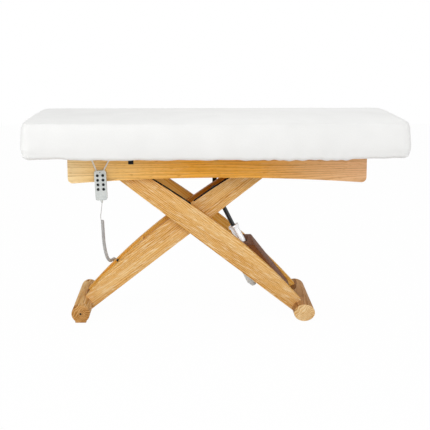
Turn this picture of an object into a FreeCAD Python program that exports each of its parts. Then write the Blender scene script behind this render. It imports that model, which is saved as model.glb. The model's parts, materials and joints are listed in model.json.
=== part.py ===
import FreeCAD, Part
import math
import os
import re

Vector = FreeCAD.Vector
Rotation = FreeCAD.Rotation
Placement = FreeCAD.Placement

doc = FreeCAD.newDocument("spa_table")
sheet = doc.addObject("Spreadsheet::Sheet", "Sizes")

# driving sizes in millimetres and degrees: +X to the foot end, +Y to the rear, floor at zero
sizes = {
    # pad and deck
    "pad_length": 1850, "pad_width": 760, "pad_thickness": 190, "pad_corner": 50,
    "pad_sole_round": 44, "pad_top_round": 32, "pad_lean": 9, "pad_crown": 9,
    "deck_length": 1740, "deck_width": 650, "deck_thickness": 15,
    # rails and cross rails
    "rail_length": 1452, "rail_height": 134, "rail_arch": 25.3, "rail_corner": 24,
    "rail_thickness": 35, "rail_spread": 435, "rail_base": 691.5, "rail_shift": 9,
    "cross_thickness": 30, "cross_height": 88, "cross_inset": 42,
    # crossed legs, measured along and across the straight lower edge
    "legs_shift": -114.6, "leg_angle": 37.72, "leg_thickness": 43,
    "outer_spread": 355, "inner_spread": 200, "bar_across": 39.8,
    "pivot_along": 718.2, "pivot_across": 63, "top_along": 1178, "top_across": 40,
    "leg_end_radius": 39, "crest_along": 592, "crest_across": 121.4, "foot_width": 68,
    # floor bars and feet
    "bar_radius": 45, "bar_length": 507, "bar_seat": 35, "seat_low": 21, "foot_length": 44,
    "foot_gap": 1, "oval_width": 104, "oval_height": 85,
    "sole_width": 54, "sole_height": 13, "foot_pin_radius": 7, "foot_pin_depth": 42,
    "foot_head_radius": 12, "foot_head_depth": 7,
    # bolts and barrel nuts that hold the legs on the bars
    "bolt_radius": 5, "bolt_reach": 118, "bolt_head_radius": 9, "bolt_head_depth": 8,
    "nut_along": 98, "nut_radius": 8, "nut_length": 30, "bore_clearance": 0.3,
    # pivots
    "pin_radius": 10, "bush_wall": 3, "running_clearance": 0.05, "pin_blind": 9,
    "washer_radius": 21, "face_clearance": 0.4, "pin_seat": 22, "cap_radius": 17, "cap_depth": 6,
    # rollers in their tracks
    "roller_radius": 22, "roller_width": 26, "roller_gap": 40, "axle_radius": 7, "axle_seat": 30,
    "track_wall": 4, "track_depth": 46, "track_length": 262, "track_lead": 60, "track_clearance": 0.4,
    # stretchers
    "inner_board_start": 116, "inner_board_length": 320, "inner_board_drop": 5, "inner_board": 22,
    "outer_board_start": 80, "outer_board_length": 307, "outer_board_drop": 14, "outer_board": 40,
    "outer_board_gap": 12, "channel_width": 80, "channel_depth": 15,
    # actuator
    "eye_along": 882.6, "eye_across": 84.8, "tail_along": 290.3, "tail_across": 31.4,
    "drive_pin_radius": 7, "drive_pin_seat": 20, "sleeve_radius": 12, "eye_width": 24,
    "eye_wall": 8, "eye_clearance": 5.9, "rod_radius": 11, "rod_bore": 6, "rod_cover": 42,
    "tube_radius": 22.5, "tube_bore": 12.2, "collar_radius": 27, "collar_length": 14,
    "collar_place": 233, "gear_start": 17, "gear_length": 72, "gear_width": 66, "gear_back": 68,
    "gear_front": 30, "motor_radius": 25, "motor_offset": 43, "motor_tail": 86,
    "motor_cap": 28, "spindle_radius": 5, "spindle_end": 192,
    # control box under the inner stretcher
    "box_length": 176, "box_width": 96, "box_height": 44, "box_start": 150,
    "inlet_width": 48, "inlet_height": 28, "inlet_depth": 6,
    # brackets under the deck
    "bracket_width": 25, "bracket_drop": 41, "bracket_short": 23, "bracket_arm": 34, "bracket_wall": 3,
    "bracket_spread": 411, "screw_radius": 4, "screw_head": 2.4,
    "hanger_width": 23, "hanger_shift": 6, "hanger_drop": 205, "hanger_hook": 26, "hanger_wall": 4,
    # handset
    "handset_width": 57, "handset_height": 145, "handset_front": 10, "handset_back": 14,
    "handset_round": 11, "handset_x": -556, "handset_z": 686, "handset_stand": 6,
    "handset_tilt": 2.4, "button_radius": 6.6, "button_rise": 2, "button_flange": 8,
    "button_flange_depth": 1.5, "button_pitch_x": 26, "button_pitch_z": 22.4,
    "button_top": 24, "button_clearance": 0.3,
    "cavity_width": 46, "cavity_height": 98, "cavity_depth": 7, "board_depth": 1.6,
    "lens_radius": 2.5, "lens_depth": 3, "lens_drop": 9,
    "relief_length": 15, "relief_top": 7.5, "relief_tip": 3.4,
    # lanyard
    "strand_radius": 3.8, "strand_spread_low": 37, "strand_spread_high": 84, "strand_sink": 8,
    "stud_radius": 8, "stud_length": 16,
    # curly cord
    "wire_radius": 1.7, "curl_radius": 6.5, "curl_pitch": 4.25, "gland_radius": 7,
    "gland_length": 9, "gland_along": 256, "gland_y": 40,
    # how far a cutting shape runs past what it cuts
    "overrun": 2,
}
for row, (alias, number) in enumerate(sizes.items(), start=1):
    sheet.set(f"A{row}", str(number))
    sheet.setAlias(f"A{row}", alias)
doc.recompute()

# share tables: places as shares of the sizes they follow
quarter_share = 1 - math.sqrt(0.5)
crown_reach_shares = [0.3, 0.62]
crown_height_shares = [0.62, 1.0]
bracket_place_shares = [-1, 0, 1]
screw_height_share = 0.72
button_row_count = 4
button_column_shares = [-0.5, 0.5]
curl_steps_per_turn = 16
arc_trim_share = 0.45

nodes = {}


def bound(expression):
    return re.sub(r"[a-z]\w*", r"Sizes.\g<0>", expression)


def bind(item, **expressions):
    for prop, expression in expressions.items():
        item.setExpression(prop, bound(expression))


def keep(label, item):
    item.Label = label
    nodes[label] = item
    return item


def box(name, length, width, height, corner):
    item = doc.addObject("Part::Box", name)
    bind(item, Length=length, Width=width, Height=height)
    item.Placement = Placement(Vector(*corner), Rotation())
    return item


def cylinder(name, radius, height, base, axis=(0, 1, 0)):
    item = doc.addObject("Part::Cylinder", name)
    bind(item, Radius=radius, Height=height)
    item.Placement = Placement(Vector(*base), Rotation(Vector(0, 0, 1), Vector(*axis)))
    return item


def fuse(name, items):
    item = doc.addObject("Part::MultiFuse", name)
    item.Shapes = list(items)
    item.Refine = True
    return item


def cut(name, base, tools):
    tools = list(tools)
    item = doc.addObject("Part::Cut", name)
    item.Base = base
    item.Tool = tools[0] if len(tools) == 1 else fuse(name + "_tools", tools)
    return item


def group(name, items):
    item = doc.addObject("Part::Compound", name)
    item.Links = list(items)
    return item


def placed(item, frame):
    item.Placement = frame
    return item


def plane(body, role):
    return next(f for f in body.Origin.OriginFeatures if f.Role == role)


def board(name, outline, thickness, middle):
    # a board with its outline in X and Z, thickness along Y about the given middle
    body = doc.addObject("PartDesign::Body", name)
    sketch = body.newObject("Sketcher::SketchObject", name + "_outline")
    sketch.AttachmentSupport = (plane(body, "XZ_Plane"), [""])
    sketch.MapMode = "FlatFace"
    for points in outline:
        flat = [Vector(x, z, 0) for x, z in points]
        if len(flat) == 2:
            sketch.addGeometry(Part.LineSegment(*flat), False)
        else:
            sketch.addGeometry(Part.Arc(*flat), False)
    pad = body.newObject("PartDesign::Pad", name + "_pad")
    pad.Profile = sketch
    bind(pad, Length=thickness)
    pad.SideType = "Symmetric"
    body.Placement = Placement(Vector(0, middle, 0), Rotation())
    return body


def tilted(start, angle):
    return Placement(Vector(*start), Rotation(Vector(0, 1, 0), -angle))


# places worked out from the driving sizes
s = sheet
deck_base = s.rail_base + s.rail_height
rail_face = s.rail_spread / 2
rail_inner = rail_face - s.rail_thickness
outer_face = s.outer_spread / 2
outer_inner = outer_face - s.leg_thickness
inner_face = s.inner_spread / 2
inner_inner = inner_face - s.leg_thickness
turn = math.radians(s.leg_angle)
cosine = math.cos(turn)
sine = math.sin(turn)
half_spread = s.pivot_along * cosine - (s.pivot_across - s.bar_across) * sine
left_x = s.legs_shift - half_spread
right_x = s.legs_shift + half_spread
inner_start = (left_x + s.bar_across * sine, 0, s.bar_radius - s.bar_across * cosine)
outer_start = (right_x - s.bar_across * sine, 0, inner_start[2])
inner_frame = tilted(inner_start, s.leg_angle)
outer_frame = Placement(
    Vector(*outer_start),
    Rotation(Vector(0, 0, 1), 180) * Rotation(Vector(0, 1, 0), -s.leg_angle),
)


def on_inner(along, across, y=0):
    return inner_frame.multVec(Vector(along, y, across))


def on_outer(along, across, y=0):
    return outer_frame.multVec(Vector(along, -y, across))


main_pivot = on_inner(s.pivot_along, s.pivot_across)
roller_place = on_inner(s.top_along, s.top_across)
hinge_place = on_outer(s.top_along, s.top_across)
eye_place = on_inner(s.eye_along, s.eye_across)
tail_place = on_outer(s.tail_along, s.tail_across)
eye_in_outer = outer_frame.inverse().multVec(eye_place)
foot_radius_of_crest = (
    (s.crest_along - s.bar_seat) ** 2 + (s.crest_across - s.foot_width) ** 2
) / (2 * (s.crest_across - s.foot_width))


def upper_edge(along):
    # height of the bowed upper edge on the floor side of its crest
    drop = foot_radius_of_crest - math.sqrt(foot_radius_of_crest**2 - (s.crest_along - along) ** 2)
    return s.crest_across - drop


def leg_outline():
    # straight lower edge, round top end, bowed upper edge in two arcs that meet at the crest
    reach = s.top_along - s.crest_along
    fall = s.crest_across - s.top_across
    radius = (reach**2 + fall**2 - s.leg_end_radius**2) / (2 * (fall - s.leg_end_radius))
    centre = (s.crest_along, s.crest_across - radius)
    span = radius - s.leg_end_radius
    out = (reach / span, (s.top_across - centre[1]) / span)
    meet = (s.top_along + s.leg_end_radius * out[0], s.top_across + s.leg_end_radius * out[1])
    half = math.atan2(out[0], out[1]) / 2
    high = (centre[0] + radius * math.sin(half), centre[1] + radius * math.cos(half))
    low = (s.seat_low, 0)
    end = (s.top_along, s.top_across - s.leg_end_radius)
    tip = (s.top_along + s.leg_end_radius, s.top_across)
    crest = (s.crest_along, s.crest_across)
    heel = (s.bar_seat, s.foot_width)
    middle = (s.bar_seat + s.crest_along) / 2
    return [
        (low, end), (end, tip, meet), (meet, high, crest),
        (crest, (middle, upper_edge(middle)), heel), (heel, low),
    ]


def bore(name, along, across, radius, length, y):
    return cylinder(name, radius, length, (along, y, across))


def leg(label, frame, spread, cuts, side):
    # one leg board in its own frame, with its bores and its bolt hole
    middle = side * (spread / 2 - s.leg_thickness / 2)
    body = board(label + "_board", leg_outline(), "leg_thickness", middle)
    bolt = cylinder(
        label + "_bolt_hole", "bolt_radius + bore_clearance", "bolt_reach - seat_low + 2 * overrun",
        (s.seat_low - s.overrun, middle, s.bar_across), (1, 0, 0),
    )
    nut = bore(
        label + "_nut_hole", s.nut_along, s.bar_across, "nut_radius + bore_clearance", "nut_length",
        middle - s.nut_length / 2,
    )
    item = cut(label, body, [bolt, nut] + cuts(label, side))
    return keep(label, placed(item, frame))


def inner_cuts(label, side):
    near = min(side * inner_inner, side * inner_face) - s.overrun
    through = "leg_thickness + 2 * overrun"
    axle_depth = "axle_seat + overrun"
    axle_y = side * (inner_face - s.axle_seat) if side > 0 else -inner_face - s.overrun
    drive_y = inner_inner - s.overrun if side > 0 else -inner_inner - s.drive_pin_seat
    return [
        bore(label + "_pivot_hole", s.pivot_along, s.pivot_across, "pin_radius", through, near),
        bore(label + "_axle_hole", s.top_along, s.top_across, "axle_radius", axle_depth, axle_y),
        bore(label + "_drive_hole", s.eye_along, s.eye_across, "drive_pin_radius",
             "drive_pin_seat + overrun", drive_y),
    ]


def outer_cuts(label, side):
    bush = "pin_radius + running_clearance + bush_wall"
    blind_y = outer_inner - s.overrun if side > 0 else -outer_face + s.pin_blind
    near = min(side * outer_inner, side * outer_face) - s.overrun
    drive_y = outer_inner - s.overrun if side > 0 else -outer_inner - s.drive_pin_seat
    return [
        bore(label + "_pivot_hole", s.pivot_along, s.pivot_across, bush,
             "leg_thickness - pin_blind + overrun", blind_y),
        bore(label + "_hinge_hole", s.top_along, s.top_across, bush,
             "leg_thickness + 2 * overrun", near),
        bore(label + "_drive_hole", s.tail_along, s.tail_across, "drive_pin_radius",
             "drive_pin_seat + overrun", drive_y),
    ]


def make_legs():
    # the rear board of the outer pair lies at negative Y in that pair's turned frame
    leg("inner_leg_front", inner_frame, s.inner_spread, inner_cuts, -1)
    leg("inner_leg_rear", inner_frame, s.inner_spread, inner_cuts, 1)
    leg("outer_leg_front", outer_frame, s.outer_spread, outer_cuts, 1)
    leg("outer_leg_rear", outer_frame, s.outer_spread, outer_cuts, -1)


def bar(label, solid, reach, frame, spread, extra):
    # a floor bar with a slanted milled seat and a bolt hole for each of its two legs
    tools = list(extra)
    slant = math.degrees(math.atan2(s.bar_seat - s.seat_low, s.foot_width))
    far = getattr(s, reach)
    for side in (-1, 1):
        middle = side * (spread / 2 - s.leg_thickness / 2)
        seat = box(f"{label}_seat_{side + 1}", reach, "leg_thickness", f"2 * {reach}", (0, 0, 0))
        seat.Placement = Placement(Vector(s.seat_low, middle - s.leg_thickness / 2, 0),
                                   Rotation(Vector(0, 1, 0), slant))
        hole = cylinder(
            f"{label}_hole_{side + 1}", "bolt_radius + bore_clearance", f"2 * {reach}",
            (-far, middle, s.bar_across), (1, 0, 0),
        )
        sink = cylinder(
            f"{label}_sink_{side + 1}", "bolt_head_radius + bore_clearance",
            f"bolt_head_depth + overrun + {reach} - bar_seat",
            (-far - s.overrun, middle, s.bar_across), (1, 0, 0),
        )
        for tool in (seat, hole, sink):
            tool.Placement = frame.multiply(tool.Placement)
            tools.append(tool)
    return keep(label, cut(label, solid, tools))


def bolts(label, frame, spread):
    # two bolts with sunk heads, each from the far side of the bar into its own barrel nut
    made = []
    for side in (-1, 1):
        middle = side * (spread / 2 - s.leg_thickness / 2)
        start = -s.bar_seat + s.bolt_head_depth
        shank = cylinder(
            f"{label}_shank_{side + 1}", "bolt_radius", "bolt_reach + bar_seat - bolt_head_depth",
            (start, middle, s.bar_across), (1, 0, 0),
        )
        head = cylinder(
            f"{label}_head_{side + 1}", "bolt_head_radius", "bolt_head_depth",
            (-s.bar_seat, middle, s.bar_across), (1, 0, 0),
        )
        made.append(fuse(f"{label}_bolt_{side + 1}", [shank, head]))
        nut = bore(f"{label}_barrel_{side + 1}", s.nut_along, s.bar_across, "nut_radius", "nut_length",
                   middle - s.nut_length / 2)
        hole = cylinder(
            f"{label}_barrel_hole_{side + 1}", "bolt_radius", "2 * nut_radius + 2 * overrun",
            (s.nut_along - s.nut_radius - s.overrun, middle, s.bar_across), (1, 0, 0),
        )
        made.append(cut(f"{label}_nut_{side + 1}", nut, [hole]))
    return keep(label, placed(group(label, made), frame))


def make_bars():
    pins = []
    for side in (-1, 1):
        end = side * (s.bar_length / 2 - s.foot_length - s.foot_gap)
        start = end - s.foot_pin_depth if side > 0 else end - s.overrun
        pins.append(cylinder(f"left_bar_pin_hole_{side + 1}", "foot_pin_radius",
                             "foot_pin_depth + overrun", (left_x, start, s.bar_radius)))
    round_bar = cylinder("left_bar_round", "bar_radius", "bar_length - 2 * foot_length - 2 * foot_gap",
                         (left_x, s.foot_length + s.foot_gap - s.bar_length / 2, s.bar_radius))
    bar("left_bar", round_bar, "bar_radius", inner_frame, s.inner_spread, pins)
    outline = doc.addObject("Part::Ellipse", "right_bar_outline")
    bind(outline, MajorRadius="oval_width / 2", MinorRadius="oval_height / 2")
    outline.Placement = Placement(Vector(right_x, -s.bar_length / 2, s.oval_height / 2),
                                  Rotation(Vector(1, 0, 0), -90))
    oval_bar = doc.addObject("Part::Extrusion", "right_bar_oval")
    oval_bar.Base = outline
    oval_bar.DirMode = "Custom"
    oval_bar.Dir = Vector(0, 1, 0)
    oval_bar.Solid = True
    bind(oval_bar, LengthFwd="bar_length")
    bar("right_bar", oval_bar, "oval_width", outer_frame, s.outer_spread, [])
    bolts("left_bar_bolts", inner_frame, s.inner_spread)
    bolts("right_bar_bolts", outer_frame, s.outer_spread)


def make_feet():
    # flat-soled feet that stay on the floor while the left bar turns on their axial pins
    screws = []
    for name, side in (("front", -1), ("rear", 1)):
        label = f"left_foot_{name}"
        outer = side * s.bar_length / 2
        low = min(outer, outer - side * s.foot_length)
        disc = cylinder(label + "_disc", "bar_radius", "foot_length", (left_x, low, s.bar_radius))
        sole = box(label + "_sole", "sole_width", "foot_length", "sole_height",
                   (left_x - s.sole_width / 2, low, 0))
        hole = cylinder(label + "_hole", "foot_pin_radius + running_clearance",
                        "foot_length + 2 * overrun", (left_x, low - s.overrun, s.bar_radius))
        sink_y = outer - s.foot_head_depth if side > 0 else outer - s.overrun
        sink = cylinder(label + "_sink", "foot_head_radius + running_clearance + bore_clearance",
                        "foot_head_depth + overrun", (left_x, sink_y, s.bar_radius))
        keep(label, cut(label, fuse(label + "_solid", [disc, sole]), [hole, sink]))
        inner = side * (s.bar_length / 2 - s.foot_length - s.foot_gap - s.foot_pin_depth)
        face = outer - side * (s.foot_head_depth - s.face_clearance)
        head_y = min(face, face + side * (s.foot_head_depth - 2 * s.face_clearance))
        shank = cylinder(
            label + "_shank", "foot_pin_radius",
            "foot_length + foot_gap + foot_pin_depth - foot_head_depth + face_clearance",
            (left_x, min(inner, face), s.bar_radius),
        )
        head = cylinder(label + "_head", "foot_head_radius", "foot_head_depth - 2 * face_clearance",
                        (left_x, head_y, s.bar_radius))
        screws.append(fuse(f"foot_screw_{name}", [shank, head]))
    keep("foot_screws", group("foot_screws", screws))


def ring(name, radius, hole, length, base):
    # a sleeve along Y
    solid = cylinder(name + "_round", radius, length, base)
    gap = cylinder(name + "_hole", hole, f"{length} + 2 * overrun",
                   (base[0], base[1] - s.overrun, base[2]))
    return cut(name, solid, [gap])


def low_end(side, near, far):
    # lower Y of a piece that lies between two distances from the middle, on the given side
    return near if side > 0 else -far


def make_pivots():
    # one shaft through both inner legs turns in blind bushes in the outer legs
    x, z = main_pivot.x, main_pivot.z
    reach = outer_face - s.pin_blind
    keep("pivot_shaft", cylinder("pivot_shaft", "pin_radius", "outer_spread - 2 * pin_blind",
                                 (x, -reach, z)))
    keep("pivot_spacer", ring("pivot_spacer", "washer_radius", "pin_radius",
                              "inner_spread - 2 * leg_thickness", (x, -inner_inner, z)))
    washers = []
    pivot_bushes = []
    hinge_bushes = []
    hinge_pins = []
    for name, side in (("front", -1), ("rear", 1)):
        far = outer_inner - s.face_clearance
        washers.append(ring(
            f"pivot_washer_{name}", "washer_radius", "pin_radius",
            "outer_spread / 2 - leg_thickness - inner_spread / 2 - face_clearance",
            (x, low_end(side, inner_face, far), z)))
        pivot_bushes.append(ring(
            f"pivot_bush_{name}", "pin_radius + running_clearance + bush_wall",
            "pin_radius + running_clearance", "leg_thickness - pin_blind",
            (x, low_end(side, outer_inner, reach), z)))
        hinge_x, hinge_z = hinge_place.x, hinge_place.z
        hinge_bushes.append(ring(
            f"hinge_bush_{name}", "pin_radius + running_clearance + bush_wall",
            "pin_radius + running_clearance", "leg_thickness",
            (hinge_x, low_end(side, outer_inner, outer_face), hinge_z)))
        seat = rail_inner + s.pin_seat
        inside = outer_inner - s.face_clearance
        shank = cylinder(
            f"hinge_pin_{name}_shank", "pin_radius",
            "rail_spread / 2 - rail_thickness + pin_seat - outer_spread / 2 + leg_thickness"
            " + face_clearance",
            (hinge_x, low_end(side, inside, seat), hinge_z))
        cap = cylinder(f"hinge_pin_{name}_cap", "cap_radius", "cap_depth",
                       (hinge_x, low_end(side, inside - s.cap_depth, inside), hinge_z))
        collar = cylinder(
            f"hinge_pin_{name}_collar", "cap_radius",
            "rail_spread / 2 - rail_thickness - outer_spread / 2 - face_clearance",
            (hinge_x, low_end(side, outer_face + s.face_clearance, rail_inner), hinge_z))
        hinge_pins.append(fuse(f"hinge_pin_{name}", [shank, cap, collar]))
    keep("pivot_washers", group("pivot_washers", washers))
    keep("pivot_bushes", group("pivot_bushes", pivot_bushes))
    keep("hinge_bushes", group("hinge_bushes", hinge_bushes))
    keep("hinge_pins", group("hinge_pins", hinge_pins))


def make_rollers():
    # rollers on stub axles at the top of the inner legs run in channels on the rails
    x, z = roller_place.x, roller_place.z
    near = inner_face + s.roller_gap
    axles = []
    tracks = []
    for name, side in (("front", -1), ("rear", 1)):
        wheel = ring(f"roller_{name}", "roller_radius", "axle_radius + running_clearance",
                     "roller_width", (x, low_end(side, near, near + s.roller_width), z))
        keep(f"roller_{name}", wheel)
        start = inner_face - s.axle_seat
        end = near + s.roller_width
        shank = cylinder(f"roller_axle_{name}_shank", "axle_radius",
                         "axle_seat + roller_gap + roller_width", (x, low_end(side, start, end), z))
        collar = cylinder(f"roller_axle_{name}_collar", "sleeve_radius", "roller_gap - face_clearance",
                          (x, low_end(side, inner_face, near - s.face_clearance), z))
        axles.append(fuse(f"roller_axle_{name}", [shank, collar]))
        high = "2 * roller_radius + 2 * track_clearance"
        low_z = z - s.roller_radius - s.track_clearance
        start_x = x - s.track_lead
        shell = box(
            f"track_{name}_shell", "track_length", "track_depth", high + " + 2 * track_wall",
            (start_x, low_end(side, rail_inner - s.track_depth, rail_inner), low_z - s.track_wall))
        gap = box(
            f"track_{name}_gap", "track_length - 2 * track_wall", "track_depth", high,
            (start_x + s.track_wall, low_end(side, rail_inner - s.track_depth, rail_inner)
             - side * s.track_wall, low_z))
        tracks.append(cut(f"track_{name}", shell, [gap]))
    keep("roller_axles", group("roller_axles", axles))
    keep("roller_tracks", group("roller_tracks", tracks))


def sloped_board(name, frame, start, length, first, last, thickness, half_width):
    # a board between two legs: its top face runs between two heights across the leg
    angle = math.degrees(math.atan2(last - first, length))
    item = doc.addObject("Part::Box", name)
    item.Length = math.hypot(length, last - first)
    bind(item, Height=thickness)
    item.Width = 2 * half_width
    spot = frame.multiply(tilted((start, 0, first), angle))
    down = Placement(Vector(0, -half_width, -getattr(s, thickness)), Rotation())
    item.Placement = spot.multiply(down)
    return item, spot


def make_stretchers():
    end = s.inner_board_start + s.inner_board_length
    inner, inner_spot = sloped_board(
        "inner_stretcher", inner_frame, s.inner_board_start, s.inner_board_length,
        upper_edge(s.inner_board_start) - s.inner_board_drop, upper_edge(end) - s.inner_board_drop,
        "inner_board", inner_inner)
    keep("inner_stretcher", inner)
    # the outer board's upper end clears the actuator's tube, which comes out below it
    end = s.outer_board_start + s.outer_board_length
    lean = math.atan2(eye_in_outer.z - s.tail_across, eye_in_outer.x - s.tail_along)
    tube_top = s.tail_across + (end - s.tail_along) * math.tan(lean) + s.tube_radius / math.cos(lean)
    plank, spot = sloped_board(
        "outer_plank", outer_frame, s.outer_board_start, s.outer_board_length,
        upper_edge(s.outer_board_start) - s.outer_board_drop,
        tube_top + s.outer_board_gap + s.outer_board - s.channel_depth, "outer_board", outer_inner)
    # its upper end is cut level, and a channel in its underside takes the actuator
    corner = spot.multVec(Vector(plank.Length.Value, 0, 0))
    plank.Length = plank.Length.Value + s.outer_board
    above = box("outer_plank_end", "outer_board_length", "outer_spread", "outer_board_length",
                (corner.x - s.outer_board_length, -outer_face, corner.z))
    channel = doc.addObject("Part::Box", "outer_plank_channel")
    bind(channel, Width="channel_width", Height="channel_depth + overrun")
    channel.Length = plank.Length.Value + 2 * s.overrun
    channel.Placement = spot.multiply(Placement(
        Vector(-s.overrun, -s.channel_width / 2, -s.outer_board - s.overrun), Rotation()))
    keep("outer_stretcher", cut("outer_stretcher", plank, [above, channel]))
    return inner_spot


def make_control_box(spot):
    # the box hangs on the underside of the inner stretcher, its inlet towards the floor bar
    start = s.box_start - s.inner_board_start
    item = box("control_box", "box_length", "box_width", "box_height", (0, 0, 0))
    item.Placement = spot.multiply(Placement(
        Vector(start, -s.box_width / 2, -s.inner_board - s.box_height), Rotation()))
    keep("control_box", item)
    rim = box("inlet_rim", "inlet_depth", "inlet_width", "inlet_height", (0, 0, 0))
    well = box("inlet_well", "inlet_depth", "inlet_width - 2 * inlet_depth",
               "inlet_height - 2 * inlet_depth", (0, 0, 0))
    drop = -s.inner_board - s.box_height / 2
    rim.Placement = spot.multiply(Placement(
        Vector(start - s.inlet_depth, -s.inlet_width / 2, drop - s.inlet_height / 2), Rotation()))
    well.Placement = spot.multiply(Placement(
        Vector(start - s.inlet_depth - s.overrun, s.inlet_depth - s.inlet_width / 2,
               drop - s.inlet_height / 2 + s.inlet_depth), Rotation()))
    keep("mains_inlet", cut("mains_inlet", rim, [well]))
    gland = cylinder("cord_gland", "gland_radius", "gland_length", (0, 0, 0), (0, 0, 1))
    gland.Placement = spot.multiply(Placement(
        Vector(s.gland_along - s.inner_board_start, s.gland_y, 0), Rotation()))
    keep("cord_gland", gland)
    return gland


def drive_pin(label, place, half_gap, width):
    # a pin seated in both legs, with a sleeve on each side of what it carries
    reach = half_gap + s.drive_pin_seat
    pin = doc.addObject("Part::Cylinder", label + "_round")
    bind(pin, Radius="drive_pin_radius", Height=f"{width} + 2 * drive_pin_seat")
    pin.Placement = Placement(Vector(place.x, -reach, place.z),
                              Rotation(Vector(0, 0, 1), Vector(0, 1, 0)))
    near = s.eye_width / 2 + s.face_clearance
    sleeves = [
        ring(f"{label}_sleeve_{side + 1}", "sleeve_radius", "drive_pin_radius",
             f"({width} - eye_width) / 2 - face_clearance",
             (place.x, low_end(side, near, half_gap), place.z))
        for side in (-1, 1)
    ]
    keep(label, group(label, [pin] + sleeves))


def make_actuator():
    # local Z runs from the lower pin to the eye, local -X faces the floor side
    run = eye_place - tail_place
    frame = Placement(tail_place, Rotation(Vector(0, 0, 1), run))
    up = (0, 0, 1)
    drive_pin("drive_pin_upper", eye_place, inner_inner, "inner_spread - 2 * leg_thickness")
    drive_pin("drive_pin_lower", tail_place, outer_inner, "outer_spread - 2 * leg_thickness")
    gear = box("gear_block", "gear_back + gear_front", "gear_width", "gear_length",
               (-s.gear_back, -s.gear_width / 2, s.gear_start))
    lug = cylinder("gear_lug", "gear_start", "eye_width", (0, -s.eye_width / 2, 0))
    neck = box("gear_neck", "2 * gear_start", "eye_width", "gear_start",
               (-s.gear_start, -s.eye_width / 2, 0))
    lug_hole = cylinder("gear_lug_hole", "drive_pin_radius + running_clearance",
                        "eye_width + 2 * overrun", (0, -s.eye_width / 2 - s.overrun, 0))
    shaft_hole = cylinder("gear_shaft_hole", "tube_bore", "gear_length",
                          (0, 0, s.gear_start + s.gear_length / 2), up)
    gear_solid = fuse("gear_solid", [gear, lug, neck])
    keep("actuator_gearbox", placed(cut("actuator_gearbox", gear_solid, [lug_hole, shaft_hole]), frame))
    motor = cylinder("motor_can", "motor_radius", "motor_tail + gear_start - motor_cap",
                     (-s.motor_offset, 0, s.motor_cap - s.motor_tail), up)
    cap = doc.addObject("Part::Cone", "motor_cap_cone")
    bind(cap, Radius1="motor_radius - motor_cap / 2", Radius2="motor_radius", Height="motor_cap")
    cap.Placement = Placement(Vector(-s.motor_offset, 0, -s.motor_tail), Rotation())
    keep("actuator_motor", placed(fuse("actuator_motor", [motor, cap]), frame))
    tube_start = s.gear_start + s.gear_length
    tube = cylinder("drive_tube_round", "tube_radius", "collar_place - gear_start - gear_length",
                    (0, 0, tube_start), up)
    tube_gap = cylinder("drive_tube_gap", "tube_bore", "collar_place",
                        (0, 0, tube_start - s.overrun), up)
    keep("actuator_tube", placed(cut("actuator_tube", tube, [tube_gap]), frame))
    collar = cylinder("drive_collar_round", "collar_radius", "collar_length",
                      (0, 0, s.collar_place), up)
    collar_gap = cylinder("drive_collar_gap", "rod_radius + running_clearance",
                          "collar_length + 2 * overrun", (0, 0, s.collar_place - s.overrun), up)
    keep("actuator_collar", placed(cut("actuator_collar", collar, [collar_gap]), frame))
    spindle = cylinder("drive_spindle", "spindle_radius",
                       "spindle_end - gear_start - gear_length / 2",
                       (0, 0, s.gear_start + s.gear_length / 2), up)
    keep("actuator_spindle", placed(group("actuator_spindle", [spindle]), frame))
    eye_radius = s.drive_pin_radius + s.eye_clearance + s.eye_wall
    start = s.collar_place + s.collar_length - s.rod_cover
    rod = doc.addObject("Part::Cylinder", "drive_rod_round")
    bind(rod, Radius="rod_radius")
    rod.Height = run.Length - start - eye_radius + s.eye_wall / 2
    rod.Placement = Placement(Vector(0, 0, start), Rotation())
    rod_gap = cylinder("drive_rod_gap", "rod_bore", "collar_place", (0, 0, start - s.overrun), up)
    eye = cylinder("drive_eye_round", "drive_pin_radius + eye_clearance + eye_wall", "eye_width",
                   (0, -s.eye_width / 2, run.Length))
    eye_gap = cylinder("drive_eye_gap", "drive_pin_radius + eye_clearance", "eye_width + 2 * overrun",
                       (0, -s.eye_width / 2 - s.overrun, run.Length))
    eye_ring = cut("drive_eye_ring", eye, [eye_gap])
    eye_cut = cylinder("drive_eye_cut", "drive_pin_radius + eye_clearance + eye_wall", "eye_width",
                       (0, -s.eye_width / 2, run.Length))
    bare_rod = cut("drive_rod_bare", rod, [rod_gap, eye_cut])
    keep("actuator_rod", placed(group("actuator_rod", [bare_rod]), frame))
    keep("actuator_eye", placed(group("actuator_eye", [eye_ring]), frame))


def rail_outline():
    left = s.rail_shift - s.rail_length / 2
    right = s.rail_shift + s.rail_length / 2
    base = s.rail_base
    top = base + s.rail_height
    bend = s.rail_corner * quarter_share
    left_low = (left + s.rail_corner, base)
    right_low = (right - s.rail_corner, base)
    left_side = (left, base + s.rail_corner)
    right_side = (right, base + s.rail_corner)
    return [
        (left_low, (s.rail_shift, base + s.rail_arch), right_low),
        (right_low, (right - bend, base + bend), right_side),
        (right_side, (right, top)), ((right, top), (left, top)), ((left, top), left_side),
        (left_side, (left + bend, base + bend), left_low),
    ]


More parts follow.
